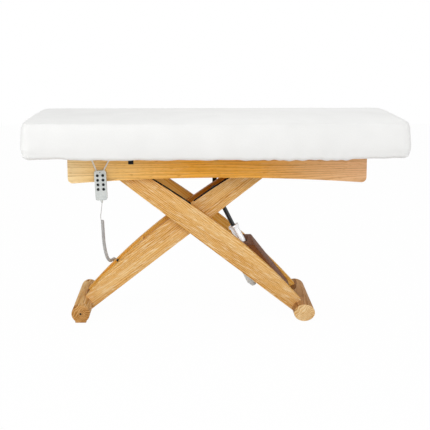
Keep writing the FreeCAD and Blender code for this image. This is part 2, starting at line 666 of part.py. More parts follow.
def make_rails():
    for name, side in (("front", -1), ("rear", 1)):
        body = board(f"rail_{name}_board", rail_outline(), "rail_thickness",
                     side * (rail_face - s.rail_thickness / 2))
        hole = cylinder(f"rail_{name}_hole", "pin_radius", "pin_seat + overrun",
                        (hinge_place.x, low_end(side, rail_inner - s.overrun, rail_inner + s.pin_seat),
                         hinge_place.z))
        keep(f"rail_{name}", cut(f"rail_{name}", body, [hole]))
    end = s.rail_length / 2 - s.cross_inset
    cross_rails = [
        box(f"cross_rail_{name}", "cross_thickness", "rail_spread - 2 * rail_thickness",
            "cross_height", (x, -rail_inner, deck_base - s.cross_height))
        for name, x in (("head", s.rail_shift - end), ("foot", s.rail_shift + end - s.cross_thickness))
    ]
    keep("cross_rails", group("cross_rails", cross_rails))
    keep("deck", box("deck", "deck_length", "deck_width", "deck_thickness",
                     (-s.deck_length / 2, -s.deck_width / 2, deck_base)))


def rounded_rectangle(half_x, half_y, corner, z):
    # a level outline of four lines and four quarter arcs
    bend = corner * quarter_share
    edges = []
    corners = [(1, 1), (-1, 1), (-1, -1), (1, -1)]
    for index, (sx, sy) in enumerate(corners):
        start = Vector(sx * half_x, sy * (half_y - corner), z)
        end = Vector(sx * (half_x - corner), sy * half_y, z)
        if sx != sy:
            start, end = end, start
        middle = Vector(sx * (half_x - bend), sy * (half_y - bend), z)
        edges.append(Part.Arc(start, middle, end).toShape())
        nx, ny = corners[(index + 1) % len(corners)]
        following = Vector(nx * half_x, ny * (half_y - corner), z)
        if nx != ny:
            following = Vector(nx * (half_x - corner), ny * half_y, z)
        edges.append(Part.LineSegment(end, following).toShape())
    return Part.Wire(edges)


def make_pad():
    # drawn-in sole, bulged sides that lean in a little, rounded top edge and a crown
    shoulder = s.pad_thickness - s.pad_crown
    sole = s.pad_sole_round
    top = s.pad_top_round
    rings = [
        (0, sole * (1 - quarter_share)), (sole * quarter_share, sole * quarter_share), (sole, 0),
        (shoulder - top, s.pad_lean),
        (shoulder - top * quarter_share, s.pad_lean + top * quarter_share),
        (shoulder, s.pad_lean + top),
    ]
    for reach_share, height_share in zip(crown_reach_shares, crown_height_shares):
        inset = s.pad_lean + top + reach_share * (s.pad_width / 2 - s.pad_corner - s.pad_lean - top)
        rings.append((shoulder + height_share * s.pad_crown, inset))
    sections = []
    for number, (height, inset) in enumerate(rings):
        section = doc.addObject("Part::Feature", f"pad_ring_{number}")
        corner = s.pad_corner - min(inset, s.pad_lean + top)
        section.Shape = rounded_rectangle(
            s.pad_length / 2 - inset, s.pad_width / 2 - inset, corner, deck_base + height)
        sections.append(section)
    loft = doc.addObject("Part::Loft", "pad_solid")
    loft.Sections = sections
    loft.Solid = True
    loft.Ruled = True
    seat = box("pad_seat", "deck_length", "deck_width", "deck_thickness + overrun",
               (-s.deck_length / 2, -s.deck_width / 2, deck_base - s.overrun))
    keep("pad", cut("pad", loft, [seat]))


def make_brackets():
    # corner brackets under the deck, their drops on the rails' outer faces, the left ones longer
    made = []
    screws = []
    for name, side in (("front", -1), ("rear", 1)):
        for number, share in enumerate(bracket_place_shares):
            x = share * s.bracket_spread - s.bracket_width / 2
            label = f"bracket_{name}_{number}"
            drop_size = "bracket_drop" if share < 0 else "bracket_short"
            deep = getattr(s, drop_size)
            drop = box(label + "_drop", "bracket_width", "bracket_wall", drop_size,
                       (x, low_end(side, rail_face, rail_face + s.bracket_wall), deck_base - deep))
            arm = box(label + "_arm", "bracket_width", "bracket_arm", "bracket_wall",
                      (x, low_end(side, rail_face, rail_face + s.bracket_arm),
                       deck_base - s.bracket_wall))
            made.append(fuse(label, [drop, arm]))
            out = rail_face + s.bracket_wall
            if side > 0 and share == 0:
                out += s.hanger_wall
            screws.append(cylinder(
                f"bracket_screw_{name}_{number}", "screw_radius", "screw_head",
                (x + s.bracket_width / 2, low_end(side, out, out + s.screw_head),
                 deck_base - screw_height_share * deep)))
    keep("deck_brackets", group("deck_brackets", made))
    keep("bracket_screws", group("bracket_screws", screws))
    out = rail_face + s.bracket_wall
    strap = box("hanger_strap", "hanger_width", "hanger_wall", "hanger_drop - bracket_wall",
                (s.hanger_shift - s.hanger_width / 2, out, deck_base - s.hanger_drop))
    foot = box("hanger_foot", "hanger_width", "hanger_hook", "hanger_wall",
               (s.hanger_shift - s.hanger_width / 2, out, deck_base - s.hanger_drop))
    lip = box("hanger_lip", "hanger_width", "hanger_wall", "hanger_hook",
              (s.hanger_shift - s.hanger_width / 2, out + s.hanger_hook - s.hanger_wall,
               deck_base - s.hanger_drop))
    keep("cord_hanger", fuse("cord_hanger", [strap, foot, lip]))


def case_outline():
    half = s.handset_width / 2
    tall = s.handset_height / 2
    turn_in = s.handset_round
    bend = turn_in * quarter_share
    outline = []
    spots = [(1, 1), (-1, 1), (-1, -1), (1, -1)]
    for index, (sx, sz) in enumerate(spots):
        first = (sx * half, sz * (tall - turn_in))
        last = (sx * (half - turn_in), sz * tall)
        if sx != sz:
            first, last = last, first
        outline.append((first, (sx * (half - bend), sz * (tall - bend)), last))
        nx, nz = spots[(index + 1) % len(spots)]
        follow = (nx * half, nz * (tall - turn_in))
        if nx != nz:
            follow = (nx * (half - turn_in), nz * tall)
        outline.append((last, follow))
    return outline


def strand(name, side, radius, frame, deep):
    # one straight strand of the lanyard, from inside the case to inside its stud
    low = frame.multVec(Vector(side * s.strand_spread_low / 2, s.handset_back / 2, s.handset_height / 2))
    high = Vector(s.handset_x + side * s.strand_spread_high / 2, low.y, deck_base - s.stud_length)
    run = (high - low).normalize()
    start = low - run * (s.strand_sink + deep)
    item = doc.addObject("Part::Cylinder", name)
    bind(item, Radius=radius)
    item.Height = (high - low).Length + 2 * s.strand_sink + 2 * deep
    item.Placement = Placement(start, Rotation(Vector(0, 0, 1), run))
    return item, high


def make_handset():
    back_y = -(rail_face + s.handset_stand)
    frame = Placement(Vector(s.handset_x, back_y - s.handset_back, s.handset_z),
                      Rotation(Vector(0, 1, 0), -s.handset_tilt))
    holes = []
    number = 0
    for row in range(button_row_count):
        for share in button_column_shares:
            number += 1
            x = share * s.button_pitch_x
            z = s.handset_height / 2 - s.button_top - row * s.button_pitch_z
            holes.append(cylinder(f"button_hole_{number}", "button_radius + button_clearance",
                                  "handset_front + 2 * overrun", (x, -s.handset_front - s.overrun, z)))
            stem = cylinder(f"button_stem_{number}", "button_radius",
                            "handset_front + button_rise + button_clearance",
                            (x, -s.handset_front - s.button_rise, z))
            flange = cylinder(f"button_flange_{number}", "button_flange", "button_flange_depth",
                              (x, s.button_clearance, z))
            button = fuse(f"handset_button_{number}", [stem, flange])
            keep(f"handset_button_{number}", placed(button, frame))
    lens_z = s.handset_height / 2 - s.lens_drop
    lens_hole = cylinder("lens_hole", "lens_radius", "lens_depth + overrun",
                         (0, -s.handset_front - s.overrun, lens_z))
    front = board("case_front_plate", case_outline(), "handset_front", -s.handset_front / 2)
    keep("handset_front", placed(cut("handset_front", front, holes + [lens_hole]), frame))
    lens = cylinder("lens_round", "lens_radius", "lens_depth", (0, -s.handset_front, lens_z))
    keep("handset_lens", placed(group("handset_lens", [lens]), frame))
    back = board("case_back_plate", case_outline(), "handset_back", s.handset_back / 2)
    middle = s.handset_height / 2 - s.button_top - (button_row_count - 1) * s.button_pitch_z / 2
    cavity = box("case_cavity", "cavity_width", "cavity_depth + overrun", "cavity_height",
                 (-s.cavity_width / 2, -s.overrun, middle - s.cavity_height / 2))
    back_cut = placed(cut("case_back_open", back, [cavity]), frame)
    circuit = box("circuit_plate", "cavity_width", "board_depth", "cavity_height",
                  (-s.cavity_width / 2, s.cavity_depth - s.board_depth, middle - s.cavity_height / 2))
    keep("handset_circuit", placed(group("handset_circuit", [circuit]), frame))
    strands = []
    strand_holes = []
    studs = []
    for side in (-1, 1):
        line, high = strand(f"strand_{side + 1}", side, "strand_radius", frame, 0)
        strands.append(line)
        wide, high = strand(f"strand_hole_{side + 1}", side, "strand_radius + bore_clearance", frame,
                            s.bore_clearance)
        strand_holes.append(wide)
        stud = cylinder(f"stud_round_{side + 1}", "stud_radius", "stud_length",
                        (high.x, high.y, high.z), (0, 0, 1))
        wide_too, high = strand(f"stud_hole_{side + 1}", side, "strand_radius + bore_clearance", frame,
                                s.bore_clearance)
        studs.append(cut(f"stud_{side + 1}", stud, [wide_too]))
    keep("handset_back", cut("handset_back", back_cut, strand_holes))
    keep("lanyard", group("lanyard", strands))
    keep("lanyard_studs", group("lanyard_studs", studs))
    relief = doc.addObject("Part::Cone", "relief_cone")
    bind(relief, Radius1="relief_tip", Radius2="relief_top", Height="relief_length")
    relief.Placement = Placement(Vector(0, 0, -s.handset_height / 2 - s.relief_length), Rotation())
    keep("cord_relief", placed(group("cord_relief", [relief]), frame))
    return frame


# curly cord: hand-chosen points of the lead's bend and of the middle line of its curls
lead_bend = [(-558, -235, 551), (-561, -233, 533)]
curl_route = [
    (-553, -226, 512), (-552, -218, 468), (-552, -203, 425), (-551, -182, 382), (-548, -152, 339),
    (-543, -113, 297), (-535, -66, 269), (-527, -22, 261), (-516, 14, 262),
]


def rounded_route(points):
    # straight runs joined by tangent arcs as large as the runs allow
    spots = [Vector(*point) for point in points]
    edges = []
    radii = []
    last = spots[0]
    for before, here, after in zip(spots, spots[1:], spots[2:]):
        back = before - here
        ahead = after - here
        half_turn = (math.pi - back.getAngle(ahead)) / 2
        trim = arc_trim_share * min(back.Length, ahead.Length)
        radius = trim / math.tan(half_turn)
        radii.append(round(radius))
        start = here + back.normalize() * trim
        end = here + ahead.normalize() * trim
        inward = (back + ahead).normalize()
        middle = here + inward * (radius / math.cos(half_turn) - radius)
        edges.append(Part.LineSegment(last, start).toShape())
        edges.append(Part.Arc(start, middle, end).toShape())
        last = end
    edges.append(Part.LineSegment(last, spots[-1]).toShape())
    print("curl route radii", radii)
    return Part.Wire(edges)


def arc_from(start, heading, end):
    # the arc that leaves start along heading and reaches end
    chord = end - start
    side = chord - heading * chord.dot(heading)
    if side.Length < 1e-7 * chord.Length:
        return Part.LineSegment(start, end).toShape(), heading, math.inf
    inward = side.normalize()
    radius = chord.Length ** 2 / (2 * chord.dot(inward))
    centre = start + inward * radius
    out = ((start - centre) + (end - centre)).normalize()
    arrive = heading * -1 + chord * (2 * chord.dot(heading) / chord.Length ** 2)
    return Part.Arc(start, centre + out * radius, end).toShape(), arrive, radius


def biarc(start, heading, end, arrival):
    # two tangent arcs between two points with given headings
    gap = end - start
    both = heading + arrival
    spread = 2 * (1 - heading.dot(arrival))
    lean = gap.dot(both)
    if spread < 1e-9:
        reach = gap.dot(gap) / (4 * gap.dot(arrival))
    else:
        reach = (math.sqrt(lean**2 + spread * gap.dot(gap)) - lean) / spread
    meet = (start + heading * reach + end - arrival * reach) * 0.5
    first, through, radius_a = arc_from(start, heading, meet)
    second, _, radius_b = arc_from(meet, through, end)
    return [first, second], min(abs(radius_a), abs(radius_b))


def curl_points(wire):
    # points and headings of the curls, half a turn apart, round the route's middle line
    turns = math.floor(wire.Length / s.curl_pitch)
    count = turns * curl_steps_per_turn
    line = wire.discretize(Number=count + 1)
    across = Vector(1, 0, 0)
    spots = []
    for index, spot in enumerate(line):
        ahead = line[min(index + 1, count)] - line[max(index - 1, 0)]
        ahead.normalize()
        across = (across - ahead * across.dot(ahead)).normalize()
        other = ahead.cross(across)
        angle = 2 * math.pi * index / curl_steps_per_turn
        spots.append(spot + (across * math.cos(angle) + other * math.sin(angle)) * s.curl_radius)
    half = curl_steps_per_turn // 2
    chosen = range(half, count - half + 1, half)
    points = [spots[i] for i in chosen]
    headings = [(spots[i + 1] - spots[i - 1]).normalize() for i in chosen]
    return points, headings, turns


def least_gap(edges):
    # least distance between windings, on points a quarter wire apart, less the wire itself
    points = []
    for edge in edges:
        number = max(2, math.ceil(edge.Length / s.wire_radius))
        points += edge.discretize(Number=number + 1)[:-1]
    turn_length = 2 * math.pi * s.curl_radius
    step = sum(edge.Length for edge in edges) / len(points)
    skip = math.ceil(turn_length / 2 / step)
    reach = math.ceil(2.2 * turn_length / step)
    least = math.inf
    for index, point in enumerate(points):
        for other in points[index + skip:index + reach]:
            least = min(least, point.distanceToPoint(other))
    return least - 2 * s.wire_radius


def make_cord(frame, gland):
    wire_width = 2 * s.wire_radius
    leave = frame.multVec(Vector(0, 0, -s.handset_height / 2 - s.relief_length))
    down = frame.Rotation.multVec(Vector(0, 0, -1))
    into = gland.Placement.Rotation.multVec(Vector(0, 0, -1))
    arrive = gland.Placement.multVec(Vector(0, 0, s.gland_length))
    route = rounded_route(curl_route)
    points, headings, turns = curl_points(route)
    bend = [Vector(*point) for point in lead_bend]
    bend_heading = (bend[1] - bend[0]).normalize()
    first = leave + down * wire_width
    last = arrive - into * wire_width
    spots = [first, bend[0], bend[1]] + points + [last]
    ways = [down, (bend[1] - first).normalize(), bend_heading] + headings + [into]
    edges = [Part.LineSegment(leave, first).toShape()]
    tightest = math.inf
    for here, way, there, next_way in zip(spots, ways, spots[1:], ways[1:]):
        pair, radius = biarc(here, way, there, next_way)
        edges += pair
        tightest = min(tightest, radius)
    edges.append(Part.LineSegment(last, arrive).toShape())
    path = Part.Wire(edges)
    profile = Part.Wire([Part.Circle(leave, down, s.wire_radius).toShape()])
    item = doc.addObject("Part::Feature", "handset_cord")
    shell = Part.BRepOffsetAPI.MakePipeShell(path)
    shell.add(profile)
    shell.build()
    shell.makeSolid()
    item.Shape = shell.shape()
    item.Placement = Placement()
    keep("handset_cord", item)
    ideal = path.Length * math.pi * s.wire_radius**2
    print("cord turns", turns, "length", round(path.Length), "tightest", round(tightest, 2),
          "gap", round(least_gap(edges), 2), "volume share", round(item.Shape.Volume / ideal, 4))


make_legs()
make_bars()
make_feet()
make_pivots()
make_rollers()
inner_spot = make_stretchers()
cord_gland = make_control_box(inner_spot)
make_actuator()
make_rails()
make_pad()
make_brackets()
handset_frame = make_handset()
make_cord(handset_frame, cord_gland)
doc.recompute()

for item in doc.Objects:
    if "Invalid" in item.State or "Error" in item.State:
        raise RuntimeError(f"{item.Label} failed: {item.State}")
for label, item in nodes.items():
    if item.Shape.isNull() or not item.Shape.isValid():
        raise RuntimeError(f"{label} has no valid shape")
    if not item.Shape.Solids:
        raise RuntimeError(f"{label} has no solid")

os.makedirs("parts", exist_ok=True)
for label, item in nodes.items():
    item.Shape.exportStep(f"parts/{label}.step")
    print(label, round(item.Shape.Volume / 1000, 1), len(item.Shape.Solids))
for name, place in (("main_pivot", main_pivot), ("roller", roller_place), ("hinge", hinge_place),
                    ("eye", eye_place), ("tail", tail_place)):
    print(name, [round(v, 3) for v in place])
print("left bar", round(left_x, 3), "right bar", round(right_x, 3))
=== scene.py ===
import json
import math

import bmesh
import bpy
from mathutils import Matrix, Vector, noise
from mathutils.bvhtree import BVHTree


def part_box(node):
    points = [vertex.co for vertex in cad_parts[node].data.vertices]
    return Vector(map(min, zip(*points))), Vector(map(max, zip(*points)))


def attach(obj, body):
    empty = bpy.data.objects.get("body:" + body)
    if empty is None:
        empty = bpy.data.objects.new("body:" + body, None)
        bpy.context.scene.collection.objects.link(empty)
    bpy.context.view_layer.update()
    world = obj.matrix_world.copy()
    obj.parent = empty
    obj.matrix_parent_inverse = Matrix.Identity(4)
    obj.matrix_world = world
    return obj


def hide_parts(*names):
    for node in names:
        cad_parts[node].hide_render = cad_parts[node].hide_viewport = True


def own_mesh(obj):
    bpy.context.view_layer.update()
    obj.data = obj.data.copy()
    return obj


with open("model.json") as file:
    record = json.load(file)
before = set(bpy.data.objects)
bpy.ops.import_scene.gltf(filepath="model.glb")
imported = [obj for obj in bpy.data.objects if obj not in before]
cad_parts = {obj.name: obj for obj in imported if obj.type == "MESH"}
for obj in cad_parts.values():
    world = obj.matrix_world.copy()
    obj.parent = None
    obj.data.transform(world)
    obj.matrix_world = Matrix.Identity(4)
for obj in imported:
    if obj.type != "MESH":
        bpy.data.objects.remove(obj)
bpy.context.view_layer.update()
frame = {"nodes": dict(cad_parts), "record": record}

legTurn = math.radians(37.72)  # slope of the legs at rest
rodTurn = math.radians(-29.3)  # sets the actuator's length upright
buttonNames = ["handset_button_%d" % number for number in range(1, 9)]
print("frame loaded:", len(frame["nodes"]), "nodes")


# small helpers

def toLinear(code):  # sRGB hex to linear
    parts = [int(code[i:i + 2], 16) / 255 for i in (1, 3, 5)]
    return [c / 12.92 if c <= 0.04045 else ((c + 0.055) / 1.055) ** 2.4 for c in parts] + [1.0]


def nothingSelected():
    if bpy.context.object and bpy.context.object.mode != "OBJECT":
        bpy.ops.object.mode_set(mode="OBJECT")
    bpy.ops.object.select_all(action="DESELECT")


def makeActive(piece):
    nothingSelected()
    piece.select_set(True)
    bpy.context.view_layer.objects.active = piece


def addPiece(name, data):
    piece = bpy.data.objects.new(name, data)
    bpy.context.scene.collection.objects.link(piece)
    return piece


def applyModifiers(piece):
    makeActive(piece)
    for modifier in list(piece.modifiers):
        bpy.ops.object.modifier_apply(modifier=modifier.name)


def settle(piece):  # place, turn and size go into the mesh
    makeActive(piece)
    bpy.ops.object.transform_apply(location=True, rotation=True, scale=True)


def wear(piece, material):
    piece.data.materials.clear()
    piece.data.materials.append(material)


# shader nodes: a socket given as a value is linked, and most helpers hand back an output socket

def addNode(tree, kind, sockets=None, **settings):
    node = tree.nodes.new("ShaderNode" + kind)
    for name, value in settings.items():
        setattr(node, name, value)
    for name, value in (sockets or {}).items():
        if isinstance(value, bpy.types.NodeSocket):
            tree.links.new(value, node.inputs[name])
        else:
            node.inputs[name].default_value = value
    return node


def newMaterial(name):
    material = bpy.data.materials.new(name)
    material.use_nodes = True
    tree = material.node_tree
    return material, tree, tree.nodes["Principled BSDF"]


def mapped(tree, place, turn=(0, 0, 0), scale=(1, 1, 1), move=(0, 0, 0)):
    sockets = {"Vector": place, "Rotation": turn, "Scale": scale, "Location": move}
    return addNode(tree, "Mapping", sockets).outputs[0]


def noisy(tree, place, scale, detail, output="Fac", **sockets):
    node = addNode(tree, "TexNoise", {"Vector": place, "Scale": scale, "Detail": detail, **sockets})
    return node.outputs[output]


def ranged(tree, value, source=(0.0, 1.0), target=(0.0, 1.0)):
    return addNode(tree, "MapRange", {"Value": value, "From Min": source[0], "From Max": source[1],
                                      "To Min": target[0], "To Max": target[1]}).outputs[0]


def mixed(tree, share, first, second, blend="MIX"):
    sockets = {"Fac": share, "Color1": first, "Color2": second}
    return addNode(tree, "MixRGB", sockets, blend_type=blend).outputs[0]


def colourStops(tree, value, stops):  # Color Ramp of (place, hex) pairs
    ramp = addNode(tree, "ValToRGB", {"Fac": value})
    line = ramp.color_ramp.elements
    while len(line) < len(stops):
        line.new(0.5)
    for element, (place, code) in zip(line, stops):
        element.position = place
        element.color = toLinear(code)
    return ramp.outputs[0]


def cloudy(tree, place, scale, detail, low, high):  # faint mottling between two colours
    return colourStops(tree, noisy(tree, place, scale, detail), [(0.3, low), (0.7, high)])


def coat(tree, surface, tone, gloss, height, bump, depth, invert=False):  # colour, roughness and relief
    relief = addNode(tree, "Bump", {"Height": height, "Strength": bump, "Distance": depth}, invert=invert)
    for source, socket in ((tone, "Base Color"), (gloss, "Roughness"), (relief.outputs[0], "Normal")):
        tree.links.new(source, surface.inputs[socket])


def seenBy(tree, *kinds):  # 1 for these kinds of ray
    rays = addNode(tree, "LightPath")
    seen, *others = [rays.outputs["Is %s Ray" % kind] for kind in kinds]
    for other in others:
        seen = addNode(tree, "Math", {0: seen, 1: other}, operation="MAXIMUM").outputs[0]
    return seen


# materials

woodLook = {
    "ringSpacing": 0.0078,  # growth rings drawn a little wide, so they show at 4.6 mm a pixel
    "ringWave": 0.314,  # Wave Texture scale for one ring a metre
    "ringShape": {"Distortion": 2.2, "Detail": 2.0, "Detail Scale": 0.6},
    "stretch": 0.055,  # grain runs far longer than wide
    "skew": (0, 0.006, 0.004),
    "driftScale": 9.0, "driftShare": 0.045,  # rings wander
    "fibreWidth": 0.0018, "fibreShare": 0.42, "fibreRough": 0.6,
    "broadScale": 26.0, "broadShare": 0.42,  # bands of lighter and darker wood
    "spread": (0.29, 0.70),  # part of the mixed figure that spans the colours
    "poreWidth": 0.0009, "poreCut": (0.62, 0.72), "poreTone": "#D8C2A0",
    "fleckWidth": 0.0055, "fleckCut": (0.52, 0.68), "fleckWarp": 0.8, "fleck": "#F6DFB6",
    "fleckStretch": 0.085,  # ray flecks are shorter than the grain
    "fleckLean": 0.2,  # on the legs they lie flatter than the grain
    "tintHalf": 0.726,  # half of a rail's length
    "padShadowRange": (0.44, 0.56),  # heights between which an inside face turns darker: painted shadow of the pad
    "stops": [(0.0, "#B37330"), (0.2, "#D39A4E"), (0.55, "#E5B36A"), (1.0, "#F1CE96")],
    "shadeBounceStops": [(0.0, "#C48230"), (0.28, "#E4A444"), (0.62, "#F0B656"), (1.0, "#F6C876")],  # inside faces: painted shade and warm bounce light
    "endStops": [(0.0, "#C79654"), (0.4, "#DDB377"), (1.0, "#EACB98")],  # cut ends are paler
    "rough": (0.40, 0.52), "bump": 0.10, "bumpDepth": 0.0006,
    "ior": 1.22, "sheen": 0.06,  # little glare
}
mouldLook = {"cloudScale": 34.0, "smoother": 0.06, "rougher": 0.08, "bumpDepth": 0.0002}
metalLook = {"cloudScale": 60.0, "smoother": 0.08, "rougher": 0.10, "bump": 0.08, "bumpDepth": 0.0001}
vinylLook = {"pebble": 0.0018, "cloudScale": 5.0, "low": "#ECECEB", "high": "#F1F1F0", "crease": (0.1, 0.7),
             "creaseShadeTone": "#FAFAF9", "rough": (0.46, 0.58), "bump": 0.12, "bumpDepth": 0.0003, "ior": 1.45}


def ashMaterial(name, turn, offset, stops=None, endStops=None, tint=None, fleckShare=0.5, padShadowStops=None):
    # sawn, sanded and oiled ash: honey colour, dark late-wood lines, pale ray flecks, short open pores
    look = woodLook
    material, tree, surface = newMaterial(name)
    place = addNode(tree, "TexCoord").outputs["Object"]
    lengthwise = mapped(tree, place, turn, move=offset)
    slow = mapped(tree, lengthwise, look["skew"], (look["stretch"], 1, 1))
    drift = noisy(tree, slow, look["driftScale"], detail=2.0, output="Color")
    bend = mixed(tree, look["driftShare"], slow, drift, "LINEAR_LIGHT")
    ringScale = look["ringWave"] / look["ringSpacing"]
    rings = addNode(tree, "TexWave", {"Vector": bend, "Scale": ringScale, **look["ringShape"]},
                    wave_type="RINGS", rings_direction="X", wave_profile="SAW").outputs["Fac"]
    fibre = noisy(tree, slow, 1 / look["fibreWidth"] / 2, detail=3.0, Roughness=look["fibreRough"])
    broad = noisy(tree, slow, look["broadScale"], detail=1.0)
    figure = mixed(tree, look["fibreShare"], rings, fibre)
    figure = ranged(tree, mixed(tree, look["broadShare"], figure, broad), look["spread"])
    tone = colourStops(tree, figure, stops or look["stops"])
    if tint:  # the board's colour changes slowly along its length
        along = addNode(tree, "SeparateXYZ", {0: place}).outputs["X"]
        share = ranged(tree, along, (-look["tintHalf"], look["tintHalf"]))
        tone = mixed(tree, 1.0, tone, colourStops(tree, share, tint), "MULTIPLY")
    lean = mapped(tree, lengthwise, (0, -look["fleckLean"] * turn[1], 0))
    short = mapped(tree, lean, scale=(look["fleckStretch"], 1, 1))
    flecks = noisy(tree, short, 1 / look["fleckWidth"], detail=3.0, Distortion=look["fleckWarp"])
    flecks = ranged(tree, flecks, look["fleckCut"], (0.0, fleckShare))
    tone = mixed(tree, flecks, tone, toLinear(look["fleck"]))
    pores = noisy(tree, slow, 1 / look["poreWidth"] / 2, detail=1.0)
    tone = mixed(tree, ranged(tree, pores, look["poreCut"]), tone, toLinear(look["poreTone"]), "MULTIPLY")
    # painted shade and warm bounce light on the inside faces of the legs
    shadeBounceTone = colourStops(tree, figure, look["shadeBounceStops"])
    if padShadowStops:  # the inside face is darker towards its top: painted shadow of the pad
        height = addNode(tree, "SeparateXYZ", {0: place}).outputs["Z"]
        upper = ranged(tree, height, look["padShadowRange"])
        shadeBounceTone = mixed(tree, upper, shadeBounceTone, colourStops(tree, figure, padShadowStops))
    shadeBounceFace = addNode(tree, "Attribute", attribute_name="shadeBounceFace").outputs["Fac"]
    tone = mixed(tree, shadeBounceFace, tone, shadeBounceTone)
    cutEnd = addNode(tree, "Attribute", attribute_name="cutEnd").outputs["Fac"]
    tone = mixed(tree, cutEnd, tone, colourStops(tree, figure, endStops or look["endStops"]))
    gloss = ranged(tree, fibre, target=look["rough"])
    coat(tree, surface, tone, gloss, figure, look["bump"], look["bumpDepth"])
    surface.inputs["IOR"].default_value = look["ior"]
    surface.inputs["Specular IOR Level"].default_value = look["sheen"]
    return material


def mouldedMaterial(name, low, high, grit, roughness, ior=1.5, bump=0.12, sheen=0.5):
    # moulded plastic, rubber or coating: fine spark-eroded texture, faint mottling
    look = mouldLook
    material, tree, surface = newMaterial(name)
    place = addNode(tree, "TexCoord").outputs["Object"]
    tone = cloudy(tree, place, look["cloudScale"], 3.0, low, high)
    grain = noisy(tree, place, 1 / grit, detail=2.0)
    gloss = ranged(tree, grain, target=(roughness - look["smoother"], roughness + look["rougher"]))
    coat(tree, surface, tone, gloss, grain, bump, look["bumpDepth"])
    surface.inputs["IOR"].default_value = ior
    surface.inputs["Specular IOR Level"].default_value = sheen
    return material


def metalMaterial(name, low, high, roughness, scale, turn=(0, 0, 0)):
    # plated or turned metal: fine lines along one way, cloudy plating
    look = metalLook
    material, tree, surface = newMaterial(name)
    place = addNode(tree, "TexCoord").outputs["Object"]
    lines = noisy(tree, mapped(tree, place, turn, scale), 1.0, detail=3.0)
    tone = cloudy(tree, place, look["cloudScale"], 2.0, low, high)
    gloss = ranged(tree, lines, target=(roughness - look["smoother"], roughness + look["rougher"]))
    coat(tree, surface, tone, gloss, lines, look["bump"], look["bumpDepth"])
    surface.inputs["Metallic"].default_value = 1.0
    return material


def vinylMaterial(name):
    # upholstery vinyl: calendered film, fine pebble grain, soft satin
    look = vinylLook
    material, tree, surface = newMaterial(name)
    place = addNode(tree, "TexCoord").outputs["Object"]
    pebble = addNode(tree, "TexVoronoi", {"Vector": place, "Scale": 1 / look["pebble"]},
                     feature="SMOOTH_F1").outputs["Distance"]
    tone = cloudy(tree, place, look["cloudScale"], 2.0, look["low"], look["high"])
    crease = ranged(tree, pebble, look["crease"])
    # painted shade in the creases between the pebbles
    tone = mixed(tree, crease, tone, toLinear(look["creaseShadeTone"]), "MULTIPLY")
    gloss = ranged(tree, pebble, target=look["rough"])
    coat(tree, surface, tone, gloss, pebble, look["bump"], look["bumpDepth"], invert=True)
    surface.inputs["IOR"].default_value = look["ior"]
    return material


# colours of the wood from late wood to early wood; grey lies under a rail's colour wash
greyStops = [(0.0, "#C9BDAF"), (0.28, "#E6DFD6"), (0.62, "#F6F3EF"), (1.0, "#FFFFFF")]
railTint = [(0.0, "#FFE6B4"), (0.16, "#FFD184"), (0.42, "#F8B54A"), (0.64, "#F6B656"), (0.82, "#F2C086"),
            (1.0, "#F2C498")]
# amber for the upper inside face of a rear leg: painted shadow of the pad
padShadowAmberStops = [(0.0, "#98560F"), (0.28, "#B9701C"), (0.62, "#CC8128"), (1.0, "#D8933A")]
# dark brown for the outer stretcher: painted shade under the table
shadeBrownStops = [(0.0, "#56311A"), (0.35, "#6E4225"), (0.7, "#81522F"), (1.0, "#8F5F3B")]
# bright, saturated ash for the inner stretcher: painted light and warm bounce light
bounceGoldStops = [(0.0, "#C98C2C"), (0.28, "#E8AB42"), (0.62, "#F4BC55"), (1.0, "#F8CC76")]
# darker ash for the right bar: painted shade
paintedShadeStops = [(0.0, "#84552A"), (0.28, "#AA7844"), (0.62, "#BE8E5A"), (1.0, "#CEA272")]
turnedStops = [(0.0, "#7E4A19"), (0.28, "#B67D3C"), (0.62, "#D8AA68"), (1.0, "#EDCD9A")]
plyStops = [(0.0, "#C9A878"), (0.4, "#D6BA8E"), (0.7, "#DFC7A0"), (1.0, "#E8D4B2")]
brownEnd = [(0.0, "#74430F"), (0.4, "#B67F40"), (1.0, "#DDAF74")]
paleEnd = [(0.0, "#B27C3C"), (0.3, "#DEB57A"), (1.0, "#F2D7AA")]
innerTurn = (0, legTurn, 0)
outerTurn = (0, -legTurn, 0)
crosswise = (0, 0, -math.pi / 2)
level = (0, 0, 0)
railLook = {"stops": greyStops, "tint": railTint, "fleckShare": 0.12}
footLook = {"stops": turnedStops, "endStops": brownEnd}
ashLooks = {  # turn to the grain, then a place in the log
    "inner_leg_front": ashMaterial("ashInnerLegFront", innerTurn, (0.1, 0.31, 0.12), fleckShare=0.7),
    "inner_leg_rear": ashMaterial("ashInnerLegRear", innerTurn, (0.5, 0.22, -0.17), padShadowStops=padShadowAmberStops),
    "outer_leg_front": ashMaterial("ashOuterLegFront", outerTurn, (0.3, 0.36, 0.06), fleckShare=0.7),
    "outer_leg_rear": ashMaterial("ashOuterLegRear", outerTurn, (-0.4, 0.11, -0.2)),
    "rail_front": ashMaterial("ashRailFront", level, (0.2, 0.45, -0.60), **railLook),
    "rail_rear": ashMaterial("ashRailRear", level, (0.7, -0.05, -0.92), **railLook),
    "cross_rails": ashMaterial("ashCrossRails", crosswise, (0.1, 0.4, -0.6)),
    "left_bar": ashMaterial("ashLeftBar", crosswise, (0.0, -0.6, 0.07), turnedStops),
    "right_bar": ashMaterial("ashRightBar", crosswise, (0.3, 0.5, 0.05), paintedShadeStops, paleEnd,
                             fleckShare=0.1),
    "left_foot_front": ashMaterial("ashFootFront", crosswise, (0.1, -0.62, 0.05), **footLook),
    "left_foot_rear": ashMaterial("ashFootRear", crosswise, (0.6, -0.58, 0.09), **footLook),
    "inner_stretcher": ashMaterial("ashInnerStretcher", innerTurn, (0.4, 0.05, 0.08), bounceGoldStops,
                                   fleckShare=0.1),
    "outer_stretcher": ashMaterial("ashStretcherShade", outerTurn, (0.2, 0.12, 0.1), shadeBrownStops, fleckShare=0.0),
}
